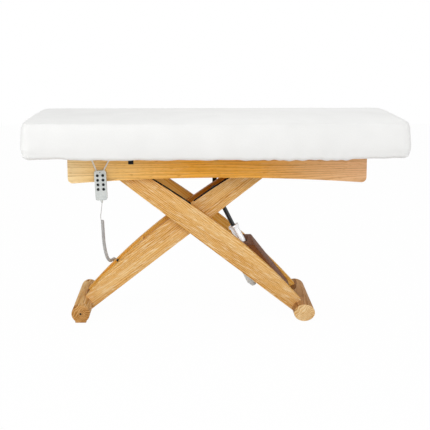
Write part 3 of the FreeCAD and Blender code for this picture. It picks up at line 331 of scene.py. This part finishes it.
looks = {  # two colours, grit or line size and roughness, then IOR, bump and sheen where they differ
    "vinyl": vinylMaterial("whiteVinyl"),
    "ply": ashMaterial("birchPlywood", level, (0.0, 0.2, -0.4), plyStops),
    "plug": ashMaterial("ashPlug", crosswise, (0.2, -0.5, 0.04), brownEnd, fleckShare=0.0),
    "blackSteel": mouldedMaterial("blackPowderCoat", "#060607", "#0E0E0F", 0.0009, 0.5, 1.45, 0.12, 0.22),
    "zinc": metalMaterial("zincPlatedSteel", "#B4B6B8", "#CACBCC", 0.34, (90, 90, 900)),
    "aluminium": metalMaterial("turnedAluminium", "#DCDDDF", "#ECECEE", 0.48, (60, 60, 1100),
                               (0, rodTurn, 0)),
    "greyAbs": mouldedMaterial("lightGreyAbs", "#C3C8C6", "#CDD1CF", 0.0007, 0.44),
    "motorGrey": mouldedMaterial("paleMotorGrey", "#D3D5D2", "#DDDEDB", 0.0008, 0.4),
    "blackAbs": mouldedMaterial("blackAbs", "#0E0E0F", "#1A1A1B", 0.0007, 0.45),
    "rubber": mouldedMaterial("darkButtonRubber", "#101314", "#1B1F20", 0.0006, 0.6, 1.45, 0.12, 0.3),
    "nylon": mouldedMaterial("naturalNylon", "#DAD8CF", "#E6E4DC", 0.0009, 0.4),
    "bronze": metalMaterial("sinteredBronze", "#A37A45", "#B98D55", 0.42, (500, 500, 500)),
    "lens": mouldedMaterial("smokedLens", "#2A3A33", "#35483F", 0.002, 0.12, 1.58, 0.02),
    "laminate": mouldedMaterial("greenLaminate", "#1E5A33", "#2A6B3F", 0.0012, 0.35),
    "thread": mouldedMaterial("whiteThread", "#E4E4E2", "#F0F0EE", 0.0006, 0.7, 1.45, 0.3),
    "braid": mouldedMaterial("whiteBraid", "#EDEDEC", "#F6F6F5", 0.0008, 0.8, 1.4, 0.4),
    "cordSheath": mouldedMaterial("greyPvcSheath", "#B5B3B1", "#C4C2C0", 0.0008, 0.42),
    "blackRod": mouldedMaterial("blackOxideSteel", "#020203", "#060607", 0.0011, 0.12, 1.45, 0.02, 0.45),
    # black for the strip on the upper leg edges: painted shade
    "paintedShadeStrip": mouldedMaterial("blackPaintedEdgeShade", "#0A0806", "#120E0B", 0.0009, 0.75, 1.4, 0.2, 0.1),
    # near black for the floor and walls of sockets and drive holes: painted shade in the recess
    "socket": mouldedMaterial("paintedSocketShade", "#141312", "#1F1D1B", 0.0008, 0.6, 1.45, 0.1, 0.2),
}
nodeLooks = {
    "vinyl": ["pad"], "ply": ["deck"],
    "blackSteel": ["deck_brackets", "bracket_screws", "cord_hanger", "drive_pin_upper", "drive_pin_lower",
                   "actuator_eye", "pivot_spacer", "roller_tracks"],
    "blackRod": ["actuator_rod"],
    "zinc": ["left_bar_bolts", "right_bar_bolts", "foot_screws", "pivot_shaft", "hinge_pins", "roller_axles",
             "actuator_spindle"],
    "aluminium": ["actuator_collar", "actuator_tube"],
    "motorGrey": ["actuator_gearbox", "actuator_motor"],
    "greyAbs": ["handset_front", "handset_back", "cord_relief"],
    "blackAbs": ["control_box", "mains_inlet", "cord_gland"],
    "rubber": buttonNames,
    "nylon": ["pivot_washers", "roller_front", "roller_rear", "lanyard_studs"],
    "bronze": ["pivot_bushes", "hinge_bushes"],
    "lens": ["handset_lens"], "laminate": ["handset_circuit"],
    "braid": ["lanyard"], "cordSheath": ["handset_cord"],
}
for look, names in nodeLooks.items():
    for name in names:
        wear(frame["nodes"][name], looks[look])
for name, material in ashLooks.items():
    wear(frame["nodes"][name], material)
print("materials:", len(bpy.data.materials))


# camera, light and floor

view = {"place": (-0.1359, -5.0605, 1.4905), "tilt": 78.816, "turn": -1.558, "lens": 84.55, "sensor": 36,
        "clipEnd": 60}
nothingSelected()
bpy.ops.object.camera_add(location=view["place"],
                          rotation=(math.radians(view["tilt"]), 0, math.radians(view["turn"])))
camera = bpy.context.object
camera.data.lens = view["lens"]
camera.data.sensor_width = view["sensor"]
camera.data.clip_end = view["clipEnd"]
bpy.context.scene.camera = camera

lamps = {  # place, aim, size, watts
    "keyLamp": ((-2.6, -4.4, 3.6), (0, 0, 0.6), 2.2, 98),
    "frontLamp": ((1.4, -6.4, 1.2), (0, 0, 0.5), 3.6, 87),
    "topLamp": ((0.5, 0.4, 4.6), (0, 0, 0.8), 4.0, 44),
    "leftLamp": ((-4.2, -1.4, 2.3), (-0.4, 0, 0.3), 2.4, 38),
    "rightLamp": ((4.2, -1.4, 2.3), (0.4, 0, 0.3), 2.4, 38),
    "backLamp": ((0.8, 4.4, 4.4), (0, 0, 0.7), 3.0, 30),
}
for name, (spot, aim, size, watts) in lamps.items():
    bpy.ops.object.light_add(type="AREA", location=spot)
    lamp = bpy.context.object
    lamp.name = name
    lamp.data.size = size
    lamp.data.energy = watts
    lamp.rotation_euler = (Vector(aim) - Vector(spot)).to_track_quat("-Z", "Y").to_euler()

room = {"air": (1, 1, 1, 1), "ambient": 0.34, "floorSize": 14, "floorPlace": (0, 2, 0),
        "floorTone": "#F2F2F2", "floorRough": 0.9, "floorGlow": 0.98}
world = bpy.data.worlds.new("paleRoom")
bpy.context.scene.world = world
world.use_nodes = True
sky = world.node_tree
sky.nodes.clear()
strength = ranged(sky, seenBy(sky, "Camera", "Glossy", "Transmission"), target=(room["ambient"], 1.0))
air = addNode(sky, "Background", {"Color": room["air"], "Strength": strength})
addNode(sky, "OutputWorld", {"Surface": air.outputs[0]})

bpy.ops.mesh.primitive_plane_add(size=room["floorSize"], location=room["floorPlace"])
floor = bpy.context.object
floor.name = "paleFloor"
settle(floor)
floorLook, tree, surface = newMaterial("paleStudioFloor")
surface.inputs["Base Color"].default_value = toLinear(room["floorTone"])
surface.inputs["Roughness"].default_value = room["floorRough"]
glow = addNode(tree, "Emission", {"Color": room["air"], "Strength": 1.0})
lit = addNode(tree, "Math", {0: seenBy(tree, "Camera", "Glossy"), 1: room["floorGlow"]},
              operation="MULTIPLY")
both = addNode(tree, "MixShader", {0: lit.outputs[0], 1: surface.outputs[0], 2: glow.outputs[0]})
tree.links.new(both.outputs[0], tree.nodes["Material Output"].inputs["Surface"])
wear(floor, floorLook)
bpy.context.scene.view_settings.view_transform = "Standard"
print("camera and light set")


# curly handset cord

cord = {
    "exit": (-0.55234, -0.2375, 0.59858),
    "lead": [(-0.5527, -0.2375, 0.5915), (-0.5550, -0.2370, 0.572), (-0.5580, -0.2350, 0.551),
             (-0.5610, -0.2330, 0.533)],
    "curls": [(-0.553, -0.226, 0.512), (-0.552, -0.218, 0.468), (-0.552, -0.203, 0.425),
              (-0.551, -0.182, 0.382), (-0.548, -0.152, 0.339), (-0.543, -0.113, 0.297),
              (-0.535, -0.066, 0.269), (-0.527, -0.022, 0.261), (-0.516, 0.014, 0.262)],
    "wire": 0.0017, "radius": 0.0066, "pitch": 0.00425, "perTurn": 16, "routeSteps": 40, "tubeSteps": 3,
    "glandRise": 0.007, "tipAbove": 0.004, "tipInside": 0.002,
    "lowAnchor": 0.59858, "keep": 0.22,
}


def splineCurve(name, points, depth=0.0, steps=2, bevel=2, closed=False):
    data = bpy.data.curves.new(name, "CURVE")
    data.dimensions = "3D"
    data.resolution_u = steps
    data.bevel_depth = depth
    data.bevel_resolution = bevel
    data.use_fill_caps = depth > 0 and not closed
    line = data.splines.new("NURBS")
    line.points.add(len(points) - 1)
    for point, place in zip(line.points, points):
        point.co = (*place, 1)
    line.order_u = 3
    line.use_endpoint_u = not closed
    line.use_cyclic_u = closed
    return addPiece(name, data)


def tubeMesh(curve):
    makeActive(curve)
    bpy.ops.object.convert(target="MESH")
    return bpy.context.object


def linePoints(points, steps):  # points read from a smooth line through the route
    curve = splineCurve("routeLine", points, 0.0, steps)
    bpy.context.view_layer.update()
    mesh = bpy.data.meshes.new_from_object(curve.evaluated_get(bpy.context.evaluated_depsgraph_get()))
    spots = [v.co.copy() for v in mesh.vertices]
    bpy.data.objects.remove(curve)
    bpy.data.meshes.remove(mesh)
    return spots


def evenly(spots, step):  # the same line at even steps
    out = [spots[0]]
    left = step
    for here, there in zip(spots, spots[1:]):
        run = (there - here).length
        done = 0.0
        while run - done >= left:
            done += left
            out.append(here.lerp(there, done / run))
            left = step
        left -= run - done
    return out


def curlyCord():
    gland = frame["nodes"]["cord_gland"]
    corners = [v.co for v in gland.data.vertices]
    middle = sum(corners, Vector()) / len(corners)
    up = Vector((-math.sin(legTurn), 0, math.cos(legTurn)))
    tip = middle + up * cord["glandRise"]
    perTurn = cord["perTurn"]
    line = linePoints([Vector(p) for p in cord["curls"]], cord["routeSteps"])
    line = evenly(line, cord["pitch"] / perTurn)
    across = Vector((1, 0, 0))
    curls = []
    for index, spot in enumerate(line):
        ahead = (line[min(index + 1, len(line) - 1)] - line[max(index - 1, 0)]).normalized()
        across = (across - ahead * across.dot(ahead)).normalized()
        other = ahead.cross(across)
        angle = 2 * math.pi * index / perTurn
        curls.append(spot + (across * math.cos(angle) + other * math.sin(angle)) * cord["radius"])
    curls = curls[perTurn // 2:-perTurn // 2]
    ending = [tip + up * cord["tipAbove"], tip - up * cord["tipInside"]]
    route = [Vector(cord["exit"])] + [Vector(p) for p in cord["lead"]] + curls + ending
    path = linePoints(route, cord["tubeSteps"])
    tube = tubeMesh(splineCurve("curlyCord", route, cord["wire"], cord["tubeSteps"]))
    bpy.ops.object.shade_smooth()
    wear(tube, looks["cordSheath"])
    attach(tube, "table_top")
    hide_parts("handset_cord")
    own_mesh(tube)


curlyCord()


# eased edges: copies of the solids, with edges rounded as a sander or a mould leaves them

easedEdges = {
    "inner_leg_front": 0.004, "inner_leg_rear": 0.004, "outer_leg_front": 0.004, "outer_leg_rear": 0.004,
    "rail_front": 0.003, "rail_rear": 0.003, "cross_rails": 0.002, "inner_stretcher": 0.003,
    "outer_stretcher": 0.004, "left_bar": 0.006, "right_bar": 0.003, "left_foot_front": 0.005,
    "left_foot_rear": 0.005, "deck_brackets": 0.0008, "cord_hanger": 0.0008, "control_box": 0.004,
    "mains_inlet": 0.001, "actuator_gearbox": 0.004, "actuator_motor": 0.003, "actuator_collar": 0.002,
    "handset_front": 0.0025, "handset_back": 0.003, "lanyard_studs": 0.0015,
    **{name: 0.0012 for name in buttonNames},
}
easing = {"weld": 0.00001, "flat": math.radians(0.5), "segments": 3, "sharp": math.radians(35),
          "smooth": math.radians(30), "endFacing": 0.86, "sideFacing": 0.4, "edgeShadeBounce": 0.6}
lengthways = (1, 0, 0)
sideways = (0, 1, 0)
alongInner = (math.cos(legTurn), 0, math.sin(legTurn))
alongOuter = (-math.cos(legTurn), 0, math.sin(legTurn))
grainWay = {
    "inner_leg_front": alongInner, "inner_leg_rear": alongInner, "inner_stretcher": alongInner,
    "outer_leg_front": alongOuter, "outer_leg_rear": alongOuter,
    "left_bar": sideways, "right_bar": sideways, "left_foot_front": sideways, "left_foot_rear": sideways,
    "rail_front": lengthways, "rail_rear": lengthways,
}
nodeBody = {node: body for body, names in frame["record"]["behaviour"]["bodies"].items() for node in names}


def easedCopy(node, width):
    piece = addPiece("eased_" + node, frame["nodes"][node].data.copy())
    makeActive(piece)
    bpy.ops.object.mode_set(mode="EDIT")
    bpy.ops.mesh.select_all(action="SELECT")
    bpy.ops.mesh.remove_doubles(threshold=easing["weld"])
    bpy.ops.mesh.dissolve_limited(angle_limit=easing["flat"])
    bpy.ops.object.mode_set(mode="OBJECT")
    rounding = piece.modifiers.new("eased", "BEVEL")
    rounding.width = width
    rounding.segments = easing["segments"]
    rounding.limit_method = "ANGLE"
    rounding.angle_limit = easing["sharp"]
    rounding.use_clamp_overlap = True
    applyModifiers(piece)
    bpy.ops.object.shade_smooth_by_angle(angle=easing["smooth"])
    if node in grainWay:
        cutEnd = piece.data.attributes.new("cutEnd", "FLOAT", "FACE")
        way = Vector(grainWay[node])
        for face in piece.data.polygons:
            cutEnd.data[face.index].value = 1.0 if abs(face.normal.dot(way)) > easing["endFacing"] else 0.0
    if "_leg_" in node:  # inside faces and edges get painted shade and warm bounce light, deeper than the outer faces
        shadeBounceFace = piece.data.attributes.new("shadeBounceFace", "FLOAT", "FACE")
        side = -1 if node.endswith("front") else 1
        flank = easing["sideFacing"]
        for face in piece.data.polygons:
            lean = face.normal.y * side
            deep = 1.0 if lean < -flank else easing["edgeShadeBounce"] if lean < flank else 0.0
            shadeBounceFace.data[face.index].value = deep
    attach(piece, nodeBody[node])
    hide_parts(node)
    return piece


paintedShadeStrip = {"legs": ("outer_leg_front", "inner_leg_front"), "above": 0.565, "below": 0.735, "thick": 0.0012,
         "tilt": 0.6, "side": 0.2}


def edgeShadeStrip(node, leg):
    # black strip on the upper edge of a front leg, from the crossing up to the rail: painted shade where the
    # pad shades the edge
    piece = leg.copy()
    piece.data = leg.data.copy()
    piece.name = "guard_" + node
    bpy.context.scene.collection.objects.link(piece)
    shape = bmesh.new()
    shape.from_mesh(piece.data)
    unwanted = [f for f in shape.faces if f.normal.z < paintedShadeStrip["tilt"] or abs(f.normal.y) > paintedShadeStrip["side"]
                or not paintedShadeStrip["above"] < f.calc_center_median().z < paintedShadeStrip["below"]]
    bmesh.ops.delete(shape, geom=unwanted, context="FACES")
    shape.to_mesh(piece.data)
    shape.free()
    skin = piece.modifiers.new("skin", "SOLIDIFY")
    skin.thickness = paintedShadeStrip["thick"]
    skin.offset = 1
    applyModifiers(piece)
    wear(piece, looks["paintedShadeStrip"])
    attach(piece, nodeBody[node])
    print("guard:", node, len(piece.data.polygons), "faces")


for node, width in easedEdges.items():
    copy = easedCopy(node, width)
    if node in paintedShadeStrip["legs"]:
        edgeShadeStrip(node, copy)
print("eased pieces:", len(easedEdges))


# hexagon sockets in the bolt and screw heads; the foot screws sit under ash plugs with a small drive hole

socketHeads = {  # head radius, socket radius, socket depth, eased edge
    "left_bar_bolts": (0.009, 0.0046, 0.0045, 0.0008), "right_bar_bolts": (0.009, 0.0046, 0.0045, 0.0008),
    "bracket_screws": (0.004, 0.002, 0.0013, 0.0005),
}
headFace = {"corners": 10, "small": 0.8, "large": 1.05}  # flat ends of heads
plug = {"x": -0.66851, "z": 0.045, "radius": 0.0121, "deep": 0.0014, "proud": 0.0004, "hole": 0.0056,
        "sink": 0.0009, "sides": 48}


def roundness(face):  # radius of a circle of the same area
    return math.sqrt(face.calc_area() / math.pi)


def sinkSockets(piece, head, socket, deep):
    piece.data.materials.append(looks["socket"])
    shape = bmesh.new()
    shape.from_mesh(piece.data)
    rims = [f for f in shape.faces if len(f.verts) > headFace["corners"]
            and headFace["small"] < roundness(f) / head < headFace["large"]]
    for rim in rims:
        bmesh.ops.inset_individual(shape, faces=[rim], thickness=roundness(rim) - socket)
        bottom = bmesh.ops.extrude_discrete_faces(shape, faces=[rim])["faces"][0]
        bmesh.ops.translate(shape, verts=list(bottom.verts), vec=-bottom.normal * deep)
        # the socket's floor and walls take the near-black painted shade
        bottom.material_index = 1
        for edge in bottom.edges:
            for face in edge.link_faces:
                face.material_index = 1
    shape.to_mesh(piece.data)
    shape.free()
    return len(rims)


for node, (head, socket, deep, eased) in socketHeads.items():
    print("sockets:", node, sinkSockets(easedCopy(node, eased), head, socket, deep))
for node, side in (("left_foot_front", -1), ("left_foot_rear", 1)):
    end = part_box(node)[0 if side < 0 else 1][1] + side * (plug["proud"] - plug["deep"] / 2)
    bpy.ops.mesh.primitive_cylinder_add(vertices=plug["sides"], radius=plug["radius"], depth=plug["deep"],
                                        location=(plug["x"], end, plug["z"]), rotation=(math.pi / 2, 0, 0))
    cover = bpy.context.object
    cover.name = "plug_" + node
    settle(cover)
    wear(cover, looks["plug"])
    sinkSockets(cover, plug["radius"], plug["hole"], plug["sink"])
    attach(cover, nodeBody[node])
print("foot plugs set")


# pad: foam in a fitted vinyl cover, swelled by a short cloth simulation between its seams

pad = {
    "step": 0.016, "stepX": 0.0105, "lift": 0.006, "shrink": 0.004,
    "endReach": 0.18, "endBulge": 0.013,  # the foam pushes the ends out in the middle
    "pressure": 4.0, "frames": 20, "cap": 0.006, "still": 1e-7,
    "dent": 0.0010, "dentScale": 5.5,
    "hemStart": 0.002, "hemFull": 0.012, "hemHigh": 0.06, "hemDrop": 0.0072,
    "hemEnds": 0.62, "hemFade": 0.10,  # the cover is drawn down along the rails only
    "hemWave": 0.0026, "hemWaves": ((31, 0.0, 0.6), (67, 1.3, 0.4)),  # radians a metre, shift, share
    "gather": 0.005, "gatherFrom": 0.05, "gatherOver": 0.2,  # more gathers to the right
    "gatherRate": 116, "wander": 0.8, "wanderRate": 23,
    "seamSink": 0.0014, "welt": 0.0017,
    "stitchEvery": 0.0072, "stitchLong": 0.0046, "stitchDrop": 0.009, "thread": 0.0006,
    "stitchFlank": 0.4, "stitchRoot": 0.5,
}
clothSettings = {"quality": 4, "mass": 0.3, "tension_stiffness": 25, "compression_stiffness": 25,
                 "bending_stiffness": 2, "use_pressure": True, "uniform_pressure_force": pad["pressure"]}


def ticks(stops, step):  # even steps between given stops
    out = []
    for a, b in zip(stops, stops[1:]):
        count = max(1, round((b - a) / step))
        out += [a + (b - a) * i / count for i in range(count)]
    return out + [stops[-1]]


def padShell():
    low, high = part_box("pad")
    deckLow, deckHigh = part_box("deck")
    solid = frame["nodes"]["pad"].data
    skin = BVHTree.FromPolygons([v.co for v in solid.vertices], [tuple(f.vertices) for f in solid.polygons])
    xs = ticks([low[0], deckLow[0], deckHigh[0], high[0]], pad["stepX"])
    ys = ticks([low[1], deckLow[1], deckHigh[1], high[1]], pad["step"])
    zs = ticks([low[2], high[2]], pad["step"])
    nx, ny, nz = len(xs) - 1, len(ys) - 1, len(zs) - 1
    shell = bmesh.new()
    made = {}

    def corner(i, j, k):
        if (i, j, k) not in made:
            spot = Vector((xs[i], ys[j], zs[k]))
            overDeck = k == 0 and deckLow[0] < spot.x < deckHigh[0] and deckLow[1] < spot.y < deckHigh[1]
            if overDeck:
                spot.z += pad["lift"]
            else:
                spot = skin.find_nearest(spot)[0]
            made[i, j, k] = shell.verts.new(spot)
        return made[i, j, k]

    def quad(*keys):
        shell.faces.new([corner(*key) for key in keys])

    for i in range(nx):
        for j in range(ny):
            quad((i, j, nz), (i + 1, j, nz), (i + 1, j + 1, nz), (i, j + 1, nz))
            quad((i, j + 1, 0), (i + 1, j + 1, 0), (i + 1, j, 0), (i, j, 0))
    for k in range(nz):
        for i in range(nx):
            quad((i, 0, k), (i + 1, 0, k), (i + 1, 0, k + 1), (i, 0, k + 1))
            quad((i, ny, k + 1), (i + 1, ny, k + 1), (i + 1, ny, k), (i, ny, k))
        for j in range(ny):
            quad((0, j, k), (0, j, k + 1), (0, j + 1, k + 1), (0, j + 1, k))
            quad((nx, j + 1, k), (nx, j + 1, k + 1), (nx, j, k + 1), (nx, j, k))
    seam = [(i, 0, nz) for i in range(nx)] + [(nx, j, nz) for j in range(ny)]
    seam += [(i, ny, nz) for i in range(nx, 0, -1)] + [(0, j, nz) for j in range(ny, 0, -1)]
    shell.verts.index_update()
    seamLoop = [made[key].index for key in seam]
    held = {vert.index for (i, j, k), vert in made.items() if k == 0}
    mesh = bpy.data.meshes.new("upholsteredPad")
    shell.to_mesh(mesh)
    shell.free()
    return mesh, seamLoop, held


def swell(piece, start, heldGroup):  # air pressure in the cover, then each point's travel is capped
    cloth = piece.modifiers.new("cover", "CLOTH")
    for name, value in clothSettings.items():
        setattr(cloth.settings, name, value)
    cloth.settings.effector_weights.gravity = 0
    cloth.settings.vertex_group_mass = heldGroup
    cloth.point_cache.frame_start = 1
    cloth.point_cache.frame_end = pad["frames"]
    for number in range(1, pad["frames"] + 1):
        bpy.context.scene.frame_set(number)
    applyModifiers(piece)
    bpy.context.scene.frame_set(1)
    for vert, before in zip(piece.data.vertices, start):
        move = vert.co - before
        if move.length > pad["still"]:
            vert.co = before + move.normalized() * (pad["cap"] * math.tanh(move.length / pad["cap"]))


def share(value):  # kept between 0 and 1
    return min(1.0, max(0.0, value))


def hemSag(x):  # how far the hem moves in Z at this place along the pad
    pull = sum(math.sin(x * rate + shift) * part for rate, shift, part in pad["hemWaves"])
    gather = 0.5 - 0.5 * math.cos(x * pad["gatherRate"] + pad["wander"] * math.sin(x * pad["wanderRate"]))
    right = share((x - pad["gatherFrom"]) / pad["gatherOver"])
    span = share(1 - (abs(x) - pad["hemEnds"]) / pad["hemFade"])
    return pad["hemWave"] * pull - (pad["hemDrop"] + pad["gather"] * gather * right) * span


def upholsteredPad():
    mesh, seamLoop, held = padShell()
    piece = addPiece("upholsteredPad", mesh)
    makeActive(piece)
    base = min(v.co.z for v in mesh.vertices)
    longHalf = max(v.co.x for v in mesh.vertices)
    wideHalf = max(v.co.y for v in mesh.vertices)
    normals = [v.normal.copy() for v in mesh.vertices]
    for vert in mesh.vertices:
        near = max(0.0, 1 - (longHalf - abs(vert.co.x)) / pad["endReach"])
        middle = 1 - (vert.co.y / wideHalf) ** 2
        vert.co.x += math.copysign(pad["endBulge"] * near * near * middle, vert.co.x)
    for vert, way in zip(mesh.vertices, normals):
        if vert.index not in held:
            vert.co -= way * pad["shrink"]
    start = [v.co.copy() for v in mesh.vertices]
    group = piece.vertex_groups.new(name="held")
    group.add(sorted(held) + seamLoop, 1.0, "REPLACE")
    swell(piece, start, group.name)
    deckLow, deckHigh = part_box("deck")
    for vert, way in zip(mesh.vertices, normals):  # soft dents, the drawn hem and its gathers
        spot = vert.co
        past = max(deckLow[1] - spot.y, spot.y - deckHigh[1], deckLow[0] - spot.x, spot.x - deckHigh[0])
        if vert.index not in held:
            spot += way * pad["dent"] * noise.noise(spot * pad["dentScale"])
        elif past < pad["hemStart"]:
            continue
        low = max(0.0, 1 - (spot.z - base) / pad["hemHigh"]) * min(1.0, past / pad["hemFull"])
        spot.z += low * hemSag(spot.x)
    for index in seamLoop:
        mesh.vertices[index].co -= normals[index] * pad["seamSink"]
    path = [mesh.vertices[index].co.copy() for index in seamLoop]
    finer = piece.modifiers.new("finer", "SUBSURF")
    finer.levels = 1
    finer.render_levels = 1
    applyModifiers(piece)
    bpy.ops.object.shade_smooth()
    wear(piece, looks["vinyl"])
    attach(piece, "table_top")
    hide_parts("pad")
    print("pad:", len(piece.data.polygons), "faces")
    return piece, path


def padSeam(piece, path):
    # a narrow welt in the top seam, and a row of stitches on the side band below it
    path = [piece.closest_point_on_mesh(spot)[1].copy() for spot in path]
    welt = tubeMesh(splineCurve("padWelt", path, pad["welt"], bevel=1, closed=True))
    bpy.ops.object.shade_smooth()
    wear(welt, looks["vinyl"])
    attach(welt, "table_top")
    rows = bmesh.new()
    ring = evenly(path + path[:1], pad["stitchEvery"])
    for here, there in zip(ring, ring[1:]):
        way = (there - here).normalized()
        found = piece.closest_point_on_mesh((here + there) / 2 - Vector((0, 0, pad["stitchDrop"])))
        spot, out = found[1], found[2]
        side = out.cross(way).normalized() * pad["thread"]
        tip = way * pad["stitchLong"] / 2
        rise = out * pad["thread"]
        flank = rise * pad["stitchFlank"]
        points = [spot - tip, spot + side + flank, spot + rise, spot - side + flank, spot + tip,
                  spot - rise * pad["stitchRoot"]]
        a, b, c, d, e, f = (rows.verts.new(point) for point in points)
        for trio in ((a, c, b), (a, d, c), (a, f, d), (a, b, f),
                     (e, b, c), (e, c, d), (e, d, f), (e, f, b)):
            rows.faces.new(trio)
    bmesh.ops.recalc_face_normals(rows, faces=rows.faces[:])
    mesh = bpy.data.meshes.new("padStitches")
    rows.to_mesh(mesh)
    rows.free()
    stitches = addPiece("padStitches", mesh)
    wear(stitches, looks["thread"])
    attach(stitches, "table_top")
    print("pad seam:", len(ring) - 1, "stitches")


padSeam(*upholsteredPad())


# braided lanyard of the handset

lanyard = {"ends": [((-0.57752, -0.2305, 0.75767), (-0.598, -0.2305, 0.8095)),
                    ((-0.54056, -0.2305, 0.75921), (-0.514, -0.2305, 0.8095))],
           "sink": 0.0075, "radius": 0.0023, "yarn": 0.0014, "pitch": 0.014, "perTurn": 10,
           "weave": 0.22,  # yarns pass over and under; each has a way round and a first angle
           "yarns": ((1, 0.0), (1, math.pi), (-1, math.pi / 2), (-1, 1.5 * math.pi))}


def braidedLanyard():
    yarns = []
    for low, high in lanyard["ends"]:
        low, high = Vector(low), Vector(high)
        way = (high - low).normalized()
        low -= way * lanyard["sink"]
        high += way * lanyard["sink"]
        side = Vector((0, 1, 0))
        other = way.cross(side).normalized()
        count = round((high - low).length / lanyard["pitch"] * lanyard["perTurn"])
        for turn, begin in lanyard["yarns"]:
            spots = []
            for index in range(count + 1):
                angle = begin + turn * 2 * math.pi * index / lanyard["perTurn"]
                weave = 1 + lanyard["weave"] * turn * math.cos(2 * angle)
                out = side * math.cos(angle) + other * math.sin(angle)
                spots.append(low.lerp(high, index / count) + out * lanyard["radius"] * weave)
            yarns.append(tubeMesh(splineCurve("lanyardYarn", spots, lanyard["yarn"], bevel=1)))
    nothingSelected()
    for yarn in yarns:
        yarn.select_set(True)
    bpy.context.view_layer.objects.active = yarns[0]
    bpy.ops.object.join()
    braid = bpy.context.object
    braid.name = "braidedLanyard"
    bpy.ops.object.shade_smooth()
    wear(braid, looks["braid"])
    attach(braid, "table_top")
    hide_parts("lanyard")
    print("lanyard:", len(yarns), "yarns")


braidedLanyard()
